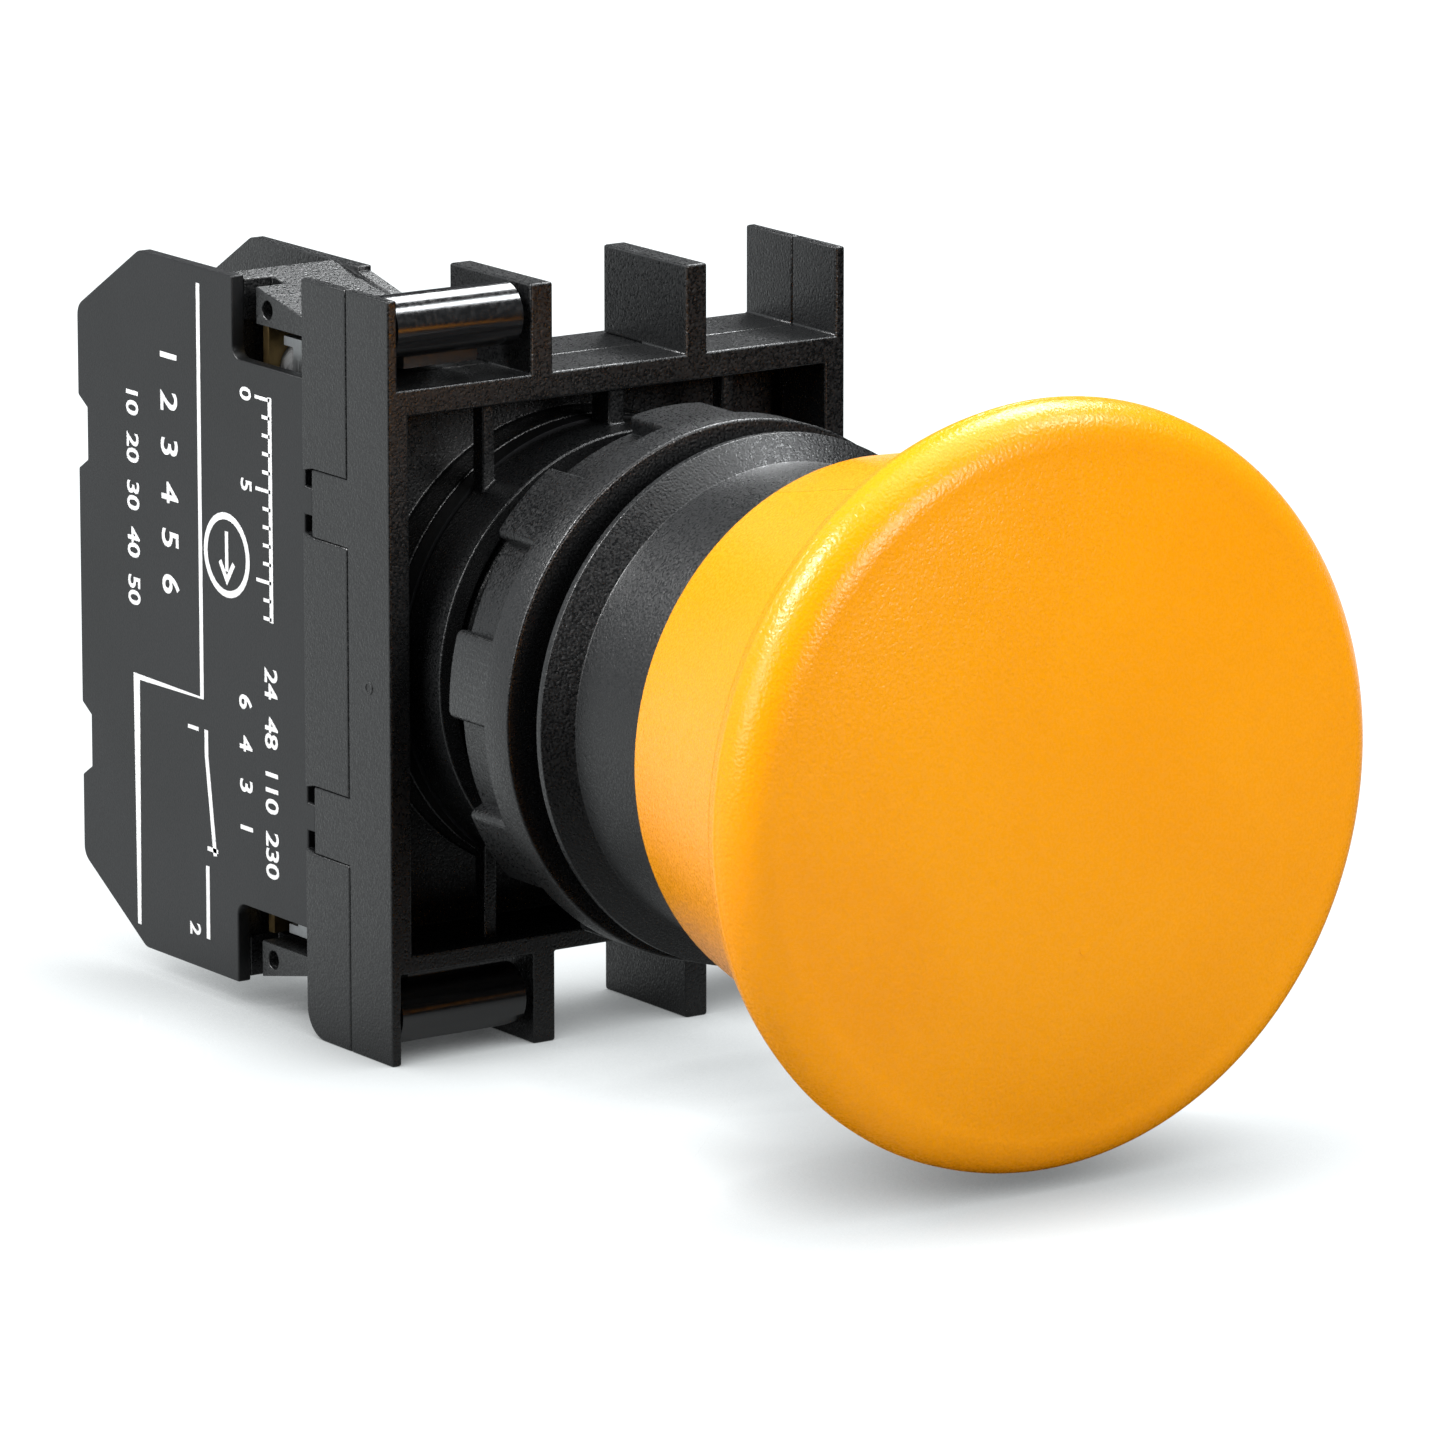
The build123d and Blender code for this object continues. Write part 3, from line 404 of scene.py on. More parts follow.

# %% [markdown]
# Each finish gets two colours that it drifts between, a range of roughness, and for a plastic the
# size and the depth of its grain in mm. Each engineering part then gets the finish of its slot.

# %% The finishes
# A plastic's third colour is its paler edge, partly rubbing wear and partly a painted highlight.
FINISHES = {
    "head_yellow": moulded(
        "head_yellow", (0.98, 0.365, 0.0008), (0.95, 0.338, 0.0006), (0.19, 0.36), 0.18, 0.022,
        wear_and_sheen=(1.0, 0.46, 0.02), drift_mm=14.0, gloss=0.38),
    "black_grain": moulded(
        "black_grain", (0.0035, 0.0038, 0.0042), (0.0055, 0.006, 0.0065), (0.20, 0.50), 0.14, 0.020,
        wear_and_sheen=(0.045, 0.050, 0.052), gloss=0.62),
    "black_smooth": moulded(
        "black_smooth", (0.005, 0.0055, 0.006), (0.0075, 0.008, 0.009), (0.36, 0.46), 0.10, 0.004,
        wear_and_sheen=(0.05, 0.054, 0.057)),
    "black_polished": moulded(
        "black_polished", (0.006, 0.0065, 0.007), (0.008, 0.0085, 0.0095), (0.12, 0.22), 0.30, 0.0012,
        pits_mm=2.5, gloss=1.0),
    "rubber_black": moulded(
        "rubber_black", (0.006, 0.006, 0.0065), (0.010, 0.010, 0.0105), (0.35, 0.6), 0.12, 0.010),
    "stem_white": moulded(
        "stem_white", (0.78, 0.77, 0.72), (0.70, 0.69, 0.64), (0.35, 0.5), 0.12, 0.003),
    "plunger_red": moulded(
        "plunger_red", (0.55, 0.03, 0.02), (0.46, 0.022, 0.016), (0.35, 0.5), 0.12, 0.003),
    "spring_steel": metal("spring_steel", (0.56, 0.57, 0.59), (0.42, 0.43, 0.45), (0.22, 0.42)),
    "zinc_steel": metal("zinc_steel", (0.40, 0.41, 0.42), (0.30, 0.31, 0.31), (0.32, 0.50)),
    "brass_strip": metal("brass_strip", (0.52, 0.36, 0.15), (0.36, 0.25, 0.11), (0.30, 0.46)),
    "silver_tip": metal("silver_tip", (0.86, 0.85, 0.82), (0.70, 0.68, 0.63), (0.25, 0.40)),
}
node_slot = {part["node"]: part["material_slot"] for part in frame["record"]["subparts"]}
for node, part in frame["nodes"].items():
    part.data.materials.clear()
    part.data.materials.append(FINISHES[node_slot[node]])
print("finishes made:", len(FINISHES))

# %% [markdown]
# ## Turned shapes
# The head, the bezel, the gasket and the nut are bodies of revolution. A lathe would make the mould
# for each, so each is drawn as half a section, with a radius at every corner, and spun round Y.
# The corners matter: no moulded edge is sharp, and a small radius is what catches the light.

# %% Draw a section
CORNER_STEPS = 5


def section(corners):
    """(radius, y) points from corners given as (radius, y, corner radius), rounded where asked."""
    points = []
    count = len(corners)
    for i, (r, y, fillet) in enumerate(corners):
        here = Vector((r, y))
        if fillet == 0:
            points.append(here)
            continue
        before = (Vector(corners[i - 1][:2]) - here).normalized()
        after = (Vector(corners[(i + 1) % count][:2]) - here).normalized()
        half_turn = before.angle(after) / 2
        centre = here + (before + after).normalized() * (fillet / sin(half_turn))
        start = here + before * (fillet / tan(half_turn)) - centre
        end = here + after * (fillet / tan(half_turn)) - centre
        a0 = atan2(start.y, start.x)
        turn = (atan2(end.y, end.x) - a0 + pi) % (2 * pi) - pi
        for k in range(CORNER_STEPS + 1):
            a = a0 + turn * k / CORNER_STEPS
            points.append(centre + Vector((cos(a), sin(a))) * fillet)
    return points


print("a rounded corner has", CORNER_STEPS + 1, "points")

# %% [markdown]
# Blender's Screw modifier could spin the section too. Spinning it by hand closes the poles with
# triangles and lets a function move each point, which the thread below needs.

# %% Spin it round the axis
TURNS = 192
ON_AXIS = 1e-6              # mm; a point nearer to the axis than this is a pole


def to_object(name, work):
    """Turns a working mesh into an object in the scene."""
    mesh = bpy.data.meshes.new(name)
    work.to_mesh(mesh)
    work.free()
    piece = bpy.data.objects.new(name, mesh)
    bpy.context.scene.collection.objects.link(piece)
    return piece


def spun(name, points, reshape=None, turns=TURNS):
    """A closed mesh from a section in mm; reshape(radius, y, angle) may move a point's radius."""
    work = bmesh.new()
    rings = []
    for r, y in points:
        if r < ON_AXIS:
            rings.append([work.verts.new((0, y * MM, 0))])
            continue
        ring = []
        for i in range(turns):
            a = 2 * pi * i / turns
            radius = reshape(r, y, a) if reshape else r
            ring.append(work.verts.new((radius * cos(a) * MM, y * MM, radius * sin(a) * MM)))
        rings.append(ring)
    for first, second in zip(rings, rings[1:] + rings[:1]):
        if len(first) == 1 and len(second) == 1:
            continue
        for i in range(turns):
            j = (i + 1) % turns
            if len(first) == 1:
                work.faces.new((first[0], second[j], second[i]))
            elif len(second) == 1:
                work.faces.new((first[i], first[j], second[0]))
            else:
                work.faces.new((first[i], first[j], second[j], second[i]))
    bmesh.ops.recalc_face_normals(work, faces=work.faces)
    return to_object(name, work)


print("points in each ring:", TURNS)

# %% [markdown]
# A finished piece needs the same last steps each time: its modifiers are baked, its shading is
# made smooth with sharp edges kept, it gets its finish, and it is told which body carries it.
# The ink is the one finish that no engineering part has, so it has no slot to name.

# %% Settle a finished piece
SMOOTH_LIMIT = radians(38)


def baked(piece):
    """Turns a piece's live modifiers into plain mesh."""
    view = bpy.context.evaluated_depsgraph_get()
    mesh = bpy.data.meshes.new_from_object(piece.evaluated_get(view))
    piece.modifiers.clear()
    piece.data = mesh
    return mesh


def settle(piece, body, slot, *nodes, sharpen=True):
    """Bakes, smooths and paints a piece, and hands it to its body in place of some parts."""
    mesh = baked(piece)
    mesh.materials.clear()
    mesh.materials.append(FINISHES[slot])
    if sharpen:
        mesh.shade_smooth()
        mesh.set_sharp_from_angle(angle=SMOOTH_LIMIT)
    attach(piece, body)
    if nodes:
        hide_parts(*nodes)
    print(piece.name, "faces:", len(mesh.polygons), "rides", body)


print("edges past", round(SMOOTH_LIMIT * 180 / pi), "degrees stay sharp")

# %% [markdown]
# ## The mushroom head
# It is one moulding: a gently domed face, a rim rounded on a circle, a conical hub that ends in a
# thin skirt, and inside it a boss for the stem. The dome is an arc, so a few points describe it.
# A fine ridge runs round the rim just behind its widest circle, where the mould halves part.

# %% The head's sizes
RIM_R = 2.4
RIM_PROUD = 2.6             # how far the rim stands out past the hub
DOME = 1.8
HUB_R = HEAD_R - RIM_PROUD
RIM_Y = APEX_Y + DOME + RIM_R
HUB_Y = RIM_Y + RIM_R
HEAD_WALL = 1.25
BORE_R = 13.31
SKIRT_R = BORE_R + HEAD_WALL
HEAD_FLOOR_Y = RIM_Y + 0.4
BOSS_R = 7.1
STEM_BORE_R = 5.12
STEM_TO_FLANGE = 7.1        # from the stem's front end to its flange, where the boss ends
FLANGE_Y = low("head_stem").y + STEM_TO_FLANGE
rim_x = HEAD_R - RIM_R
dome_r = (rim_x ** 2 + DOME ** 2) / (2 * DOME)


def dome_y(r):
    """Where the domed face is at a distance from the axis."""
    return APEX_Y + dome_r - sqrt(dome_r ** 2 - r ** 2)


print(f"dome radius {dome_r:.1f}, skirt radius {SKIRT_R:.2f}, boss ends at {FLANGE_Y:.2f} mm")

# %% [markdown]
# The outline runs from the apex over the dome, round the rim by its angle, down the hub, and back
# inside the skirt. The ridge is made by drawing the rest of the rim a hair smaller.

# %% Build the head
DOME_STEPS = 24
PART_RIDGE = 0.035          # height of the parting line round the rim
PART_FROM, PART_TO = 4, 10  # degrees behind the widest circle

head_points = [Vector((0.0, APEX_Y))]
for i in range(1, DOME_STEPS):
    r = rim_x * i / DOME_STEPS
    head_points.append(Vector((r, dome_y(r))))
rim_angles = sorted({*range(-90, 91, 6), PART_FROM - 2, PART_FROM, PART_TO, PART_TO + 2})
for degree in rim_angles:
    a = radians(degree)
    r = RIM_R if PART_FROM <= degree <= PART_TO else RIM_R - PART_RIDGE * max(0.0, cos(a))
    head_points.append(Vector((rim_x + r * cos(a), RIM_Y + r * sin(a))))
head_points += section([
    (HUB_R, HUB_Y, 0.0), (SKIRT_R, SKIRT_Y, 0.22), (BORE_R, SKIRT_Y, 0.3),
    (BORE_R, HEAD_FLOOR_Y, 0.8), (BOSS_R, HEAD_FLOOR_Y, 0.4), (BOSS_R, FLANGE_Y, 0.2),
    (STEM_BORE_R, FLANGE_Y, 0.2), (STEM_BORE_R, HEAD_FLOOR_Y, 0.0), (0.0, HEAD_FLOOR_Y, 0.0),
])
settle(spun("yellow_mushroom_head", head_points), "button", "head_yellow", "mushroom_head")

# %% [markdown]
# Two small marks show that the head came out of a mould: the hair line that the two halves leave
# along the hub, and the gate's little dot on the face. Both are thin closed shapes sunk into it.

# %% Mould line on the hub
MOULD_LINE_DEG = 114.0
MOULD_LINE_W = 0.12
MOULD_LINE_H = 0.03
MOULD_LINE_ROOT = 0.1       # how deep the line's foot is sunk
MOULD_LINE_STEPS = 12


def mould_line(name, angle, y0, y1):
    """A ridge of three edges that follows the conical hub from y0 to y1."""
    work = bmesh.new()
    rows = []
    for i in range(MOULD_LINE_STEPS + 1):
        y = y0 + (y1 - y0) * i / MOULD_LINE_STEPS
        r = SKIRT_R + (HUB_R - SKIRT_R) * (y - SKIRT_Y) / (HUB_Y - SKIRT_Y)
        side = MOULD_LINE_W / 2 / r
        row = []
        for a, reach in (
            (angle - side, r - MOULD_LINE_ROOT),
            (angle, r + MOULD_LINE_H),
            (angle + side, r - MOULD_LINE_ROOT),
        ):
            row.append(work.verts.new((reach * cos(a) * MM, y * MM, reach * sin(a) * MM)))
        rows.append(row)
    for first, second in zip(rows, rows[1:]):
        for k in range(3):
            m = (k + 1) % 3
            work.faces.new((first[k], first[m], second[m], second[k]))
    work.faces.new(rows[0])
    work.faces.new(list(reversed(rows[-1])))
    bmesh.ops.recalc_face_normals(work, faces=work.faces)
    return to_object(name, work)


line = mould_line("head_mould_line", radians(MOULD_LINE_DEG), SKIRT_Y - 0.3, HUB_Y + 3.0)
settle(line, "button", "head_yellow")

# %% [markdown]
# The gate is where the plastic ran in. Its stub is cut off and leaves a tiny round pad, which is
# spun like the head and then shifted off the axis.

# %% Gate mark on the face
GATE_AT = (-0.066, -7.69)   # x and z
GATE_R = 0.30
GATE_LIFT = 0.03
GATE_ROOT = 0.3

gate_y = dome_y(sqrt(GATE_AT[0] ** 2 + GATE_AT[1] ** 2))
gate = spun("head_gate_mark", section([
    (0.0, gate_y - GATE_LIFT, 0.0), (GATE_R, gate_y - GATE_LIFT, GATE_LIFT),
    (GATE_R, gate_y + GATE_ROOT, 0.0), (0.0, gate_y + GATE_ROOT, 0.0)]), turns=24)
for corner in gate.data.vertices:
    corner.co.x += GATE_AT[0] * MM
    corner.co.z += GATE_AT[1] * MM
settle(gate, "button", "head_yellow")

# %% [markdown]
# ## The bezel and its threaded neck
# Sleeve, conical flange and neck are one black moulding. The thread is a real helix: each point
# of the neck sinks by a wave that moves along the axis by one pitch in each turn, which keeps
# the mesh an even grid, where a swept triangle would leave thin slivers.

# %% The thread
NECK_R = 11.1
PITCH = 1.5
THREAD_DEPTH = 0.45
THREAD_START = 1.4
THREAD_END = 11.5
THREAD_FADE = 0.8           # the thread runs out over this length at each end
THREAD_ROWS = 80
GROOVE_SLOPE = 4            # how steep the flanks are, in depths per pitch
GROOVE_TOP = 1.35           # past 1 the wave is cut off, which makes the groove's floor flat


def thread(radius, y, angle):
    """The radius of a point of the neck, sunk where the groove passes it."""
    if radius < NECK_R - 0.01 or not THREAD_START < y < THREAD_END:
        return radius
    phase = (y / PITCH - angle / (2 * pi)) % 1.0
    wave = min(1.0, max(0.0, GROOVE_TOP - abs(phase - 0.5) * GROOVE_SLOPE))
    fade = min(1.0, (y - THREAD_START) / THREAD_FADE, (THREAD_END - y) / THREAD_FADE)
    return radius - THREAD_DEPTH * wave * fade


print(f"thread: {(THREAD_END - THREAD_START) / PITCH:.1f} turns of {PITCH} mm")

# %% [markdown]
# The section goes round the whole moulding: out over the sleeve and the conical flange, along the
# neck in many rows for the thread, past the groove for the lock ring, and back through the bores.

# %% Build the bezel
SLEEVE_R = 12.9
SLEEVE_BORE_R = 11.3
BEZEL_FACE_Y = -2.6
BEZEL_EDGE_Y = -1.35
NECK_BORE_R = 9.4
GUIDE_R = 5.15
GUIDE_Y = -0.2
SEAL_R = 7.3
SEAL_CUP_R = 8.0
SEAL_Y = BEZEL_FACE_Y - 1.5
LOCK_GROOVE_R = 10.3
LOCK_GROOVE_Y = (14.45, 15.65)

bezel_front = section([
    (SLEEVE_BORE_R, SLEEVE_Y, 0.3), (SLEEVE_R, SLEEVE_Y, 0.4), (SLEEVE_R, BEZEL_FACE_Y, 0.12),
    (BEZEL_R, BEZEL_EDGE_Y, 0.10), (BEZEL_R, GASKET_Y, 0.10), (NECK_R, GASKET_Y, 0.0),
    (NECK_R, 0.0, 0.0),
])[:-1]
neck_rows = [Vector((NECK_R, THREAD_END * i / THREAD_ROWS)) for i in range(THREAD_ROWS + 1)]
neck_rest = section([
    (NECK_R, LOCK_GROOVE_Y[0], 0.05), (LOCK_GROOVE_R, LOCK_GROOVE_Y[0], 0.05),
    (LOCK_GROOVE_R, LOCK_GROOVE_Y[1], 0.05), (NECK_R, LOCK_GROOVE_Y[1], 0.05),
    (NECK_R, NECK_END_Y, 0.25), (NECK_BORE_R, NECK_END_Y, 0.25), (NECK_BORE_R, GUIDE_Y, 0.3),
    (GUIDE_R, GUIDE_Y, 0.1), (GUIDE_R, BEZEL_FACE_Y, 0.1), (SEAL_R, BEZEL_FACE_Y, 0.0),
    (SEAL_R, SEAL_Y, 0.1), (SEAL_CUP_R, SEAL_Y, 0.1), (SEAL_CUP_R, BEZEL_FACE_Y, 0.1),
    (SLEEVE_BORE_R, BEZEL_FACE_Y, 0.3),
])
bezel = spun("bezel_and_neck", bezel_front + neck_rows + neck_rest, thread)
settle(bezel, "housing", "black_grain", "bezel_body")

# %% [markdown]
# ## Blocks wrapped round the axis
# Nut lugs, gasket teeth and the key are all the same idea: a block bent round the axis and repeated.
# One Geometry Nodes tree does this. A cube is bent by turning its X into an angle, points carry one
# copy each, and every copy is turned about the axis by its own number times one step.

# %% The node tree for wrapped blocks
WRAP_INPUTS = (
    ("Count", "NodeSocketInt"), ("Arc", "NodeSocketFloat"), ("Phase", "NodeSocketFloat"),
    ("Inner Radius", "NodeSocketFloat"), ("Outer Radius", "NodeSocketFloat"),
    ("Start", "NodeSocketFloat"), ("End", "NodeSocketFloat"), ("Steps", "NodeSocketInt"),
    ("Finish", "NodeSocketMaterial"),
)


def wrapped_blocks_tree():
    """The tree: one bent block, copied Count times round the Y axis."""
    tree = bpy.data.node_groups.new("wrapped_blocks", "GeometryNodeTree")
    for name, kind in WRAP_INPUTS:
        tree.interface.new_socket(name, in_out="INPUT", socket_type=kind)
    tree.interface.new_socket("Geometry", in_out="OUTPUT", socket_type="NodeSocketGeometry")
    given = tree.nodes.new("NodeGroupInput").outputs

    def calc(operation, first, second=0.0):
        return combine(tree, operation, first, second)

    def vector(x, y, z):
        return add(tree, "ShaderNodeCombineXYZ", X=x, Y=y, Z=z).outputs[0]

    # A straight block, centred on the origin: its X is the arc in radians, its Z the thickness.
    length = calc("SUBTRACT", given["End"], given["Start"])
    thickness = calc("SUBTRACT", given["Outer Radius"], given["Inner Radius"])
    block = add(tree, "GeometryNodeMeshCube", Size=vector(given["Arc"], length, thickness),
                Vertices_X=given["Steps"])
    # Bent round Y: X becomes the angle, Z is added to the middle radius.
    at = add(tree, "ShaderNodeSeparateXYZ", Vector=add(tree, "GeometryNodeInputPosition").outputs[0])
    middle_r = calc("MULTIPLY", calc("ADD", given["Outer Radius"], given["Inner Radius"]), 0.5)
    middle_y = calc("MULTIPLY", calc("ADD", given["End"], given["Start"]), 0.5)
    radius = calc("ADD", at.outputs["Z"], middle_r)
    bent_x = calc("MULTIPLY", radius, calc("COSINE", at.outputs["X"]))
    bent_z = calc("MULTIPLY", radius, calc("SINE", calc("MULTIPLY", at.outputs["X"], -1.0)))
    bend = add(tree, "GeometryNodeSetPosition", Geometry=block.outputs["Mesh"],
               Position=vector(bent_x, calc("ADD", at.outputs["Y"], middle_y), bent_z))
    # One copy for each point, turned by its number times one step, after the phase.
    points = add(tree, "GeometryNodePoints", Count=given["Count"])
    copy_number = add(tree, "GeometryNodeInputIndex").outputs[0]
    step = calc("DIVIDE", 2 * pi, given["Count"])
    angle = calc("ADD", calc("MULTIPLY", copy_number, step), given["Phase"])
    copies = add(tree, "GeometryNodeInstanceOnPoints", Points=points.outputs["Points"],
                 Instance=bend.outputs["Geometry"],
                 Rotation=vector(0.0, calc("MULTIPLY", angle, -1.0), 0.0))
    real = add(tree, "GeometryNodeRealizeInstances", Geometry=copies.outputs["Instances"])
    paint = add(tree, "GeometryNodeSetMaterial", Geometry=real.outputs["Geometry"],
                Material=given["Finish"])
    add(tree, "NodeGroupOutput", Geometry=paint.outputs["Geometry"])
    return tree


WRAP_TREE = wrapped_blocks_tree()
print("node tree", WRAP_TREE.name, "nodes:", len(WRAP_TREE.nodes))

# %% [markdown]
# A node tree is used through a modifier. Its inputs are set by their identifiers before the
# modifier is first evaluated, so each block keeps the sizes that it was given. The sides of a
# block may be rounded by a Bevel after it.

# %% A function that sets the tree's inputs
BLOCK_EDGE_LIMIT = radians(40)


def bevelled(piece, width_mm, segments, limit):
    """Adds a bevel on the edges that turn by more than the limit."""
    bevel = piece.modifiers.new("edges", "BEVEL")
    bevel.width = width_mm * MM
    bevel.segments = segments
    bevel.limit_method = "ANGLE"
    bevel.angle_limit = limit
    return bevel


def wrapped(name, finish, count, arc_deg, phase_deg, inner, outer, start, end, steps=8, edge=0.0):
    """A piece made of count blocks bent round Y; radii and places in mm, edge rounds their corners."""
    piece = bpy.data.objects.new(name, bpy.data.meshes.new(name))
    bpy.context.scene.collection.objects.link(piece)
    sizes = {
        "Count": count, "Arc": radians(arc_deg), "Phase": radians(phase_deg),
        "Inner Radius": inner * MM, "Outer Radius": outer * MM, "Start": start * MM,
        "End": end * MM, "Steps": steps, "Finish": FINISHES[finish],
    }
    blocks = piece.modifiers.new("blocks", "NODES")
    blocks.node_group = WRAP_TREE
    for socket in WRAP_TREE.interface.items_tree:
        if socket.in_out == "INPUT":
            blocks[socket.identifier] = sizes[socket.name]
    if edge:
        bevelled(piece, edge, 4, BLOCK_EDGE_LIMIT)
    return piece


def united(piece, other):
    """Unites two closed pieces into one skin, and drops the second."""
    unite = piece.modifiers.new("unite", "BOOLEAN")
    unite.operation = "UNION"
    unite.solver = "EXACT"
    unite.object = other
    baked(piece)
    bpy.data.objects.remove(other)
    return piece


print("tree inputs:", ", ".join(name for name, kind in WRAP_INPUTS))

# %% [markdown]
# ## Gasket and ring nut
# The gasket's rim is cut into small teeth that bite on the panel, so it doesn't creep when the nut
# is tightened. The teeth are united with the ring, so there is one skin and no hidden faces inside.

# %% Gasket with its teeth
GASKET_BORE_R = NECK_R + 0.3
GASKET_TEETH = 72
TOOTH_ROOT_R = GASKET_R - 0.35
TOOTH_OVERLAP = 0.3         # how far a tooth reaches into the ring
TOOTH_INSET = 0.08          # from the gasket's two faces
TOOTH_ARC_DEG = 2.2

gasket_ring = spun("panel_gasket_toothed", section([
    (GASKET_BORE_R, GASKET_Y, 0.0), (TOOTH_ROOT_R, GASKET_Y, 0.0), (TOOTH_ROOT_R, 0.0, 0.12),
    (GASKET_BORE_R, 0.0, 0.12)]), turns=144)
teeth = wrapped("teeth", "rubber_black", GASKET_TEETH, TOOTH_ARC_DEG, 0.0,
                TOOTH_ROOT_R - TOOTH_OVERLAP, GASKET_R,
                GASKET_Y + TOOTH_INSET, -TOOTH_INSET, steps=3)
settle(united(gasket_ring, teeth), "housing", "rubber_black", "panel_gasket")

# %% [markdown]
# The nut has a plain ring towards the panel and nine lugs for a box spanner behind it. It is
# turned first and then gets its lugs. They reach a little into the ring, so that the union has no
# thin gap, and their corners are rounded before they are united.

# %% Ring nut with its lugs
NUT_BORE_R = 11.15
NUT_RING_END = NUT_Y + 2.35
NUT_RECESS_R = NUT_R - 1.0
NUT_LUGS = 9
LUG_ARC_DEG = 19.0
LUG_PHASE_DEG = 93.0
LUG_ROOT = 0.5              # how far a lug reaches into the recessed part
LUG_FOOT = 0.9              # how far it reaches into the plain ring
LUG_INSET = 0.01            # keeps its faces off those of the ring
LUG_EDGE = 0.42

nut_ring = spun("ring_nut", section([
    (NUT_BORE_R, NUT_Y, 0.2), (NUT_R, NUT_Y, 0.16), (NUT_R, NUT_RING_END, 0.20),
    (NUT_RECESS_R, NUT_RING_END, 0.12), (NUT_RECESS_R, NUT_END_Y, 0.15),
    (NUT_BORE_R, NUT_END_Y, 0.2)]))
lugs = wrapped("lugs", "black_grain", NUT_LUGS, LUG_ARC_DEG, LUG_PHASE_DEG,
               NUT_RECESS_R - LUG_ROOT, NUT_R - LUG_INSET,
               NUT_RING_END - LUG_FOOT, NUT_END_Y - LUG_INSET, steps=12, edge=LUG_EDGE)
settle(united(nut_ring, lugs), "housing", "black_grain", "lock_nut")

# %% [markdown]
# A key at twelve o'clock fits a notch in the panel hole and stops the button from turning.
# The same tree makes it, with a count of one.

# %% Key on the neck
KEY_ARC_DEG = 15.4
KEY_ROOT = 0.3
KEY_HEIGHT = 1.4

key = wrapped("neck_key", "black_grain", 1, KEY_ARC_DEG, 90.0, NECK_R - KEY_ROOT,
              NECK_R + KEY_HEIGHT, 0.02, NUT_Y - 0.05, steps=4, edge=0.15)
settle(key, "housing", "black_grain")

# %% [markdown]
# ## Holder and contact block
# These are thin moulded frames with many walls, and the engineering model already has their shape.
# What it lacks is the small radius on each edge. A copy of each part is merged into clean faces
# and its sharp edges are bevelled, which draws the lit edge lines and a fine groove at each seam.

# %% Soften the edges of the moulded frames
MERGE_MM = 0.002
FLAT_LIMIT = radians(1.0)
EDGE_LIMIT = radians(35)


def softened(name, node, edge_mm):
    """Puts a copy of an engineering part with rounded edges in its place."""
    work = bmesh.new()
    work.from_mesh(frame["nodes"][node].data)
    bmesh.ops.remove_doubles(work, verts=work.verts, dist=MERGE_MM * MM)
    bmesh.ops.dissolve_limit(work, angle_limit=FLAT_LIMIT, verts=work.verts, edges=work.edges)
    piece = to_object(name, work)
    piece.data.shade_smooth()
    bevelled(piece, edge_mm, 2, EDGE_LIMIT).use_clamp_overlap = False
    piece.modifiers.new("even", "WEIGHTED_NORMAL")
    settle(piece, "housing", node_slot[node], node, sharpen=False)


softened("holder_front_half", "holder_front_frame", 0.14)
softened("holder_rear_half", "holder_rear_frame", 0.14)
softened("contact_block_shell", "block_body", 0.08)
softened("contact_block_cover", "block_side_cover", 0.10)

# %% [markdown]
# A round mark on the holder's side wall shows where an ejector pin pushed it out of the mould. It
# is a shallow dish with a fine raised ring, spun round Y as all turned shapes are, and then laid
# over so that its axis is X.

# %% Ejector mark
MARK_Y = 14.5
MARK_Z = -0.4
MARK_R = 0.38
MARK_LIFT = 0.04            # the ring stands out by this, and the dish is as deep
MARK_ROOT = 0.3

mark = spun("ejector_mark", section([
    (0.0, MARK_LIFT, 0.0), (MARK_R * 0.55, MARK_LIFT, 0.0), (MARK_R * 0.7, -MARK_LIFT, 0.03),
    (MARK_R, -MARK_LIFT, 0.04), (MARK_R, MARK_ROOT, 0.0), (0.0, MARK_ROOT, 0.0)]), turns=32)
for corner in mark.data.vertices:
    x, y, z = corner.co
    corner.co = (SIDE_X * MM + y, MARK_Y * MM + x, MARK_Z * MM + z)
mark.data.flip_normals()    # two swapped axes had turned it inside out
settle(mark, "housing", "black_grain")

# %% [markdown]
# ## Print on the cover
# The cover of a contact block is printed in white: which terminal is which, how long to strip a
# wire, and how the contact works. Only plain numbers and drawn signs are used here.
# Lines are thin slabs and numbers are text turned into a mesh, both a hair above the surface.

# %% White ink
ink, tree, shader, place = new_material("white_ink")
uneven = spread(tree, noise(tree, place, 0.5, 3.0), 0, 1)
tree.links.new(blend(tree, uneven, (0.88, 0.88, 0.88), (0.78, 0.79, 0.80)),
               shader.inputs["Base Color"])
tree.links.new(spread(tree, noise(tree, place, 0.2), 0.45, 0.7), shader.inputs["Roughness"])
tree.links.new(bump(tree, noise(tree, place, 0.12), 0.002), shader.inputs["Normal"])
FINISHES["white_ink"] = ink
print("ink made:", ink.name)

# %% [markdown]
# A printed line is as thick as the ink, so it is built as a slab: two long sides, offset from the
# middle line, with the ends square. Where the line bends, the sides are moved out to a mitre.

# %% Helpers for printed lines
INK_T = 0.012
INK_ROOT = 0.05             # how deep the print is sunk into the cover
LINE_W = 0.36
MITRE_LIMIT = 0.5

print_work = bmesh.new()


def slab(outline, count):
    """A closed slab from an outline that goes out along a line's count points and back."""
    rows = []
    for x in (COVER_X - INK_T, COVER_X + INK_ROOT):
        rows.append([print_work.verts.new((x * MM, p.x * MM, p.y * MM)) for p in outline])
    total = len(outline)
    for i in range(total):
        j = (i + 1) % total
        print_work.faces.new((rows[0][i], rows[0][j], rows[1][j], rows[1][i]))
    for row in rows:
        for i in range(count - 1):
            print_work.faces.new((row[i], row[i + 1], row[total - 2 - i], row[total - 1 - i]))


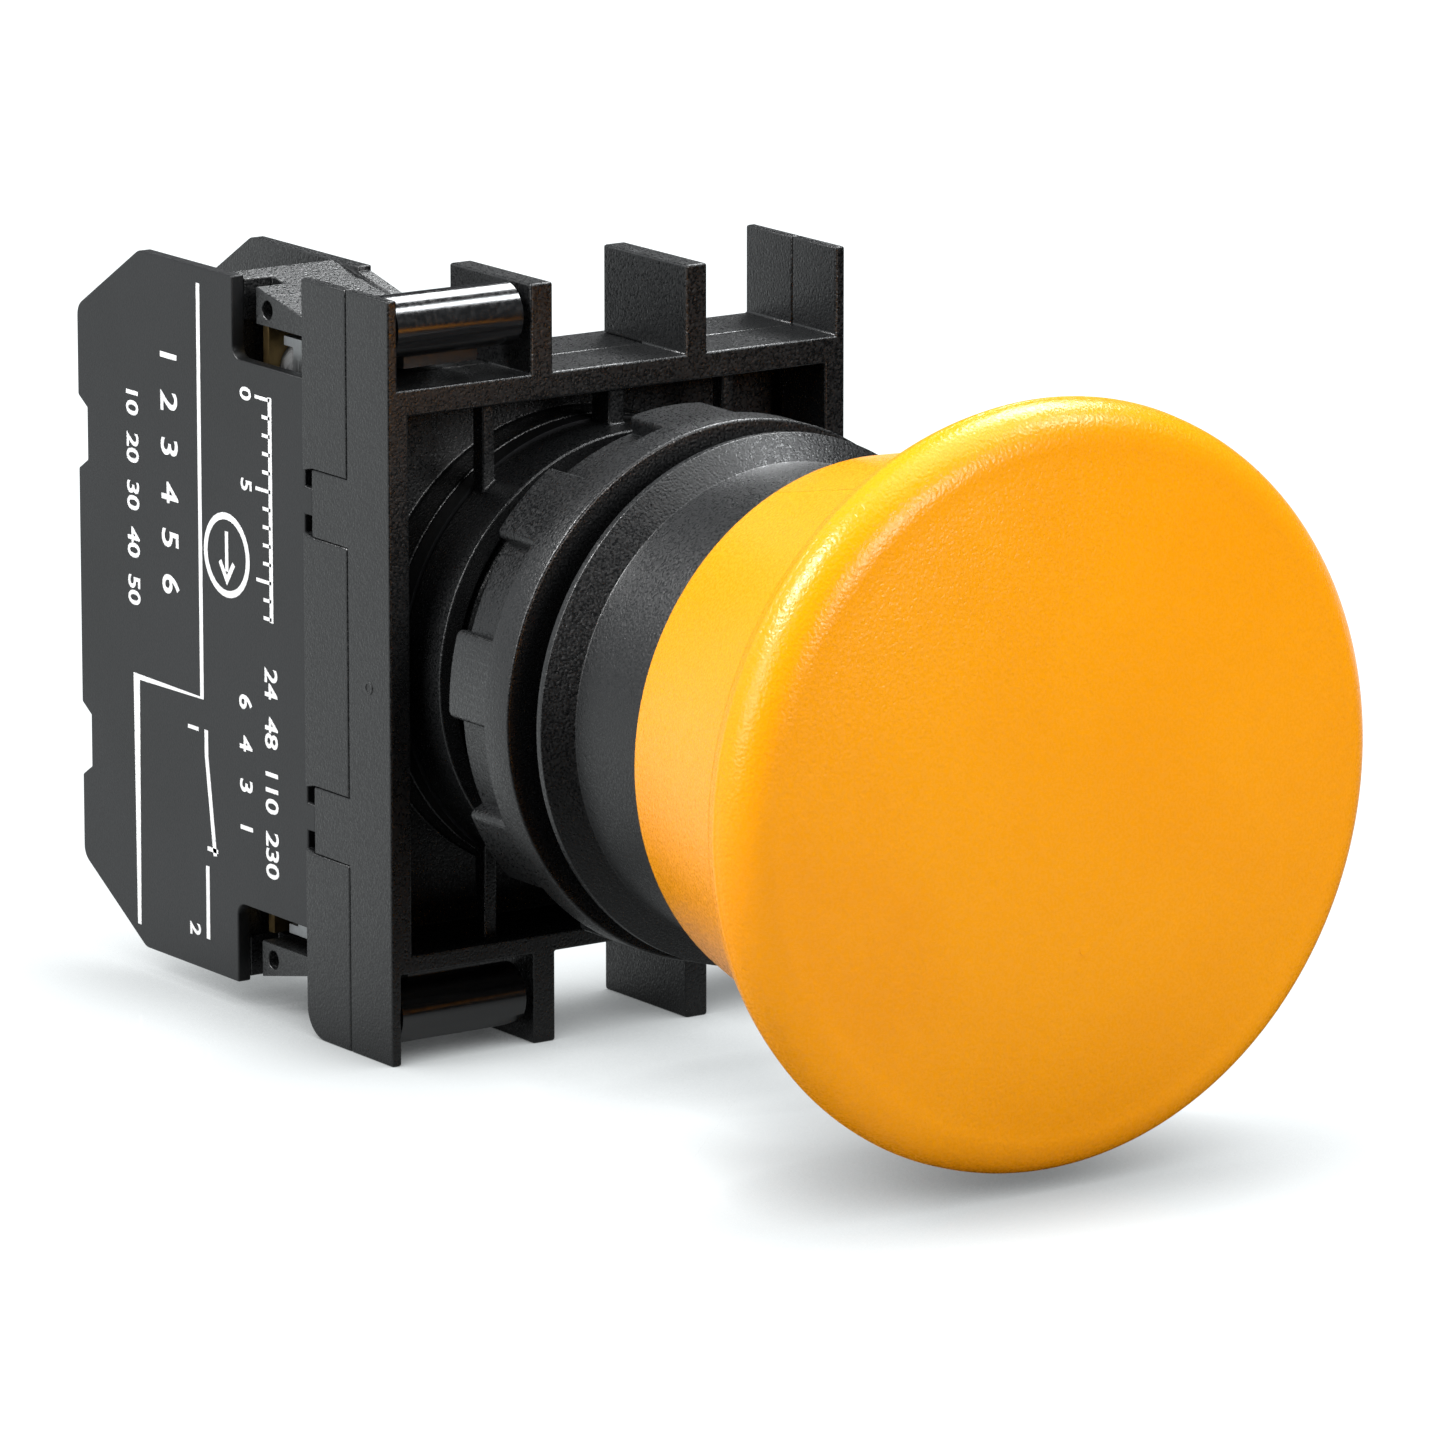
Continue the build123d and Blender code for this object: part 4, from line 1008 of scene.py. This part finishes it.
def stroke(points, width=LINE_W):
    """A printed line through (y, z) points, with mitred corners."""
    count = len(points)
    sides = ([], [])
    for i, point in enumerate(points):
        here = Vector(point)
        ahead = (Vector(points[min(i + 1, count - 1)]) - Vector(points[max(i - 1, 0)])).normalized()
        reach = width / 2
        if 0 < i < count - 1:
            into = (here - Vector(points[i - 1])).normalized()
            reach = width / 2 / max(MITRE_LIMIT, ahead.dot(into))
        across = Vector((-ahead.y, ahead.x)) * reach
        sides[0].append(here + across)
        sides[1].append(here - across)
    slab(sides[0] + sides[1][::-1], count)


def arc(centre, radius, start_deg, end_deg, steps=32):
    """Points of an arc on the cover."""
    turn = [radians(start_deg + (end_deg - start_deg) * i / steps) for i in range(steps + 1)]
    return [(centre[0] + radius * cos(a), centre[1] + radius * sin(a)) for a in turn]


print("line width", LINE_W, "mm, ink", INK_T, "mm thick")

# %% [markdown]
# The signs are drawn from a few places: a stepped line divides the cover, a closed contact has two
# leads with the blade hinged on the upper one and resting on a short stop, and an arrow in a ring
# gives the direction of the push.

# %% Divider, contact sign and arrow
DIVIDER_Y = 31.6
DIVIDER_REAR_Y = 38.4
DIVIDER_Z = -4.1
CONTACT_Y = 31.2
UPPER_LEAD_Z = (-5.8, -7.2)
LOWER_LEAD_Z = (-13.4, -17.5)
BLADE_TIP = (30.4, -12.7)
STOP_Z = -12.4
STOP_LEN = 1.1
RING_AT = (28.9, 4.3)
RING_R = 2.15
ARROW_TAIL, ARROW_NECK, ARROW_TIP = 1.3, -0.9, -1.4   # from the ring's centre, upwards
BARB = (0.7, -0.4)                                    # a barb's end, sideways and upwards

stroke([(DIVIDER_Y, COVER_TOP_Z - 0.9), (DIVIDER_Y, DIVIDER_Z), (DIVIDER_REAR_Y, DIVIDER_Z),
        (DIVIDER_REAR_Y, COVER_LOW_Z + 1.2)])
stroke([(CONTACT_Y, z) for z in UPPER_LEAD_Z])
stroke([(CONTACT_Y, UPPER_LEAD_Z[1]), BLADE_TIP])
stroke([(CONTACT_Y, z) for z in LOWER_LEAD_Z])
stroke([(CONTACT_Y, STOP_Z), (CONTACT_Y - STOP_LEN, STOP_Z)], 0.24)
ring_y, ring_z = RING_AT
stroke(arc(RING_AT, RING_R, 0, 360), 0.38)
stroke([(ring_y, ring_z + ARROW_TAIL), (ring_y, ring_z + ARROW_NECK)], 0.32)
stroke([(ring_y + BARB[0], ring_z + BARB[1]), (ring_y, ring_z + ARROW_TIP),
        (ring_y - BARB[0], ring_z + BARB[1])], 0.32)
print("faces of the signs:", len(print_work.faces))

# %% [markdown]
# The strip-length scale is a rule with a tick each millimetre and a longer one each fifth. All the
# lines are then one piece.

# %% Strip-length scale
SCALE_Y = 24.4
SCALE_TOP = 13.5
SCALE_MM = 12
TICK_LONG = 1.5
TICK_SHORT = 0.8
TICK_W = 0.2
SCALE_OVERRUN = 0.16        # the rule's line runs past its first and last tick

stroke([(SCALE_Y, SCALE_TOP + SCALE_OVERRUN), (SCALE_Y, SCALE_TOP - SCALE_MM - SCALE_OVERRUN)])
for i in range(SCALE_MM + 1):
    tick = TICK_SHORT if i % 5 else TICK_LONG
    stroke([(SCALE_Y, SCALE_TOP - i), (SCALE_Y + tick, SCALE_TOP - i)], TICK_W)
bmesh.ops.recalc_face_normals(print_work, faces=print_work.faces)
settle(to_object("cover_print_lines", print_work), "housing", "white_ink")

# %% [markdown]
# Numbers are Blender text. Text is a curve, so it is made a mesh first, and only then turned and
# moved to the cover: the rows run downwards, with the tops of the numbers towards the head.

# %% Printed numbers
BOLD = 0.035                # how far each outline is pushed out, in mm


def number(name, text, y, z, size):
    """A printed number or row of numbers, its middle at (y, z), reading downwards."""
    curve = bpy.data.curves.new(name, "FONT")
    curve.body = text
    curve.size = size * MM
    curve.align_x = "CENTER"
    curve.align_y = "CENTER"
    curve.extrude = INK_T / 2 * MM
    curve.offset = BOLD * MM
    maker = bpy.data.objects.new(name, curve)
    bpy.context.scene.collection.objects.link(maker)
    bpy.context.view_layer.update()
    mesh = bpy.data.meshes.new_from_object(maker)
    bpy.data.objects.remove(maker)
    for corner in mesh.vertices:
        along, up, out = corner.co
        corner.co = ((COVER_X - INK_T / 2) * MM - out, y * MM - up, z * MM - along)
    piece = bpy.data.objects.new(name, mesh)
    bpy.context.scene.collection.objects.link(piece)
    settle(piece, "housing", "white_ink")


for label, text, y, z, size in (
    ("print_terminal_1", "1", CONTACT_Y + 1.4, -5.9, 1.5),
    ("print_terminal_2", "2", CONTACT_Y + 1.4, -17.2, 1.5),
    ("print_scale_0", "0", SCALE_Y + 2.5, SCALE_TOP, 1.5),
    ("print_scale_5", "5", SCALE_Y + 2.5, SCALE_TOP - 5, 1.5),
    ("print_row_a", "24  48  110  230", 24.6, -7.0, 1.75),
    ("print_row_b", "6   4   3   1", 27.2, -7.0, 1.75),
    ("print_row_c", "1  2  3  4  5  6", 34.8, 8.0, 2.4),
    ("print_row_d", "10  20  30  40  50", 38.6, 6.0, 1.7),
):
    number(label, text, y, z, size)
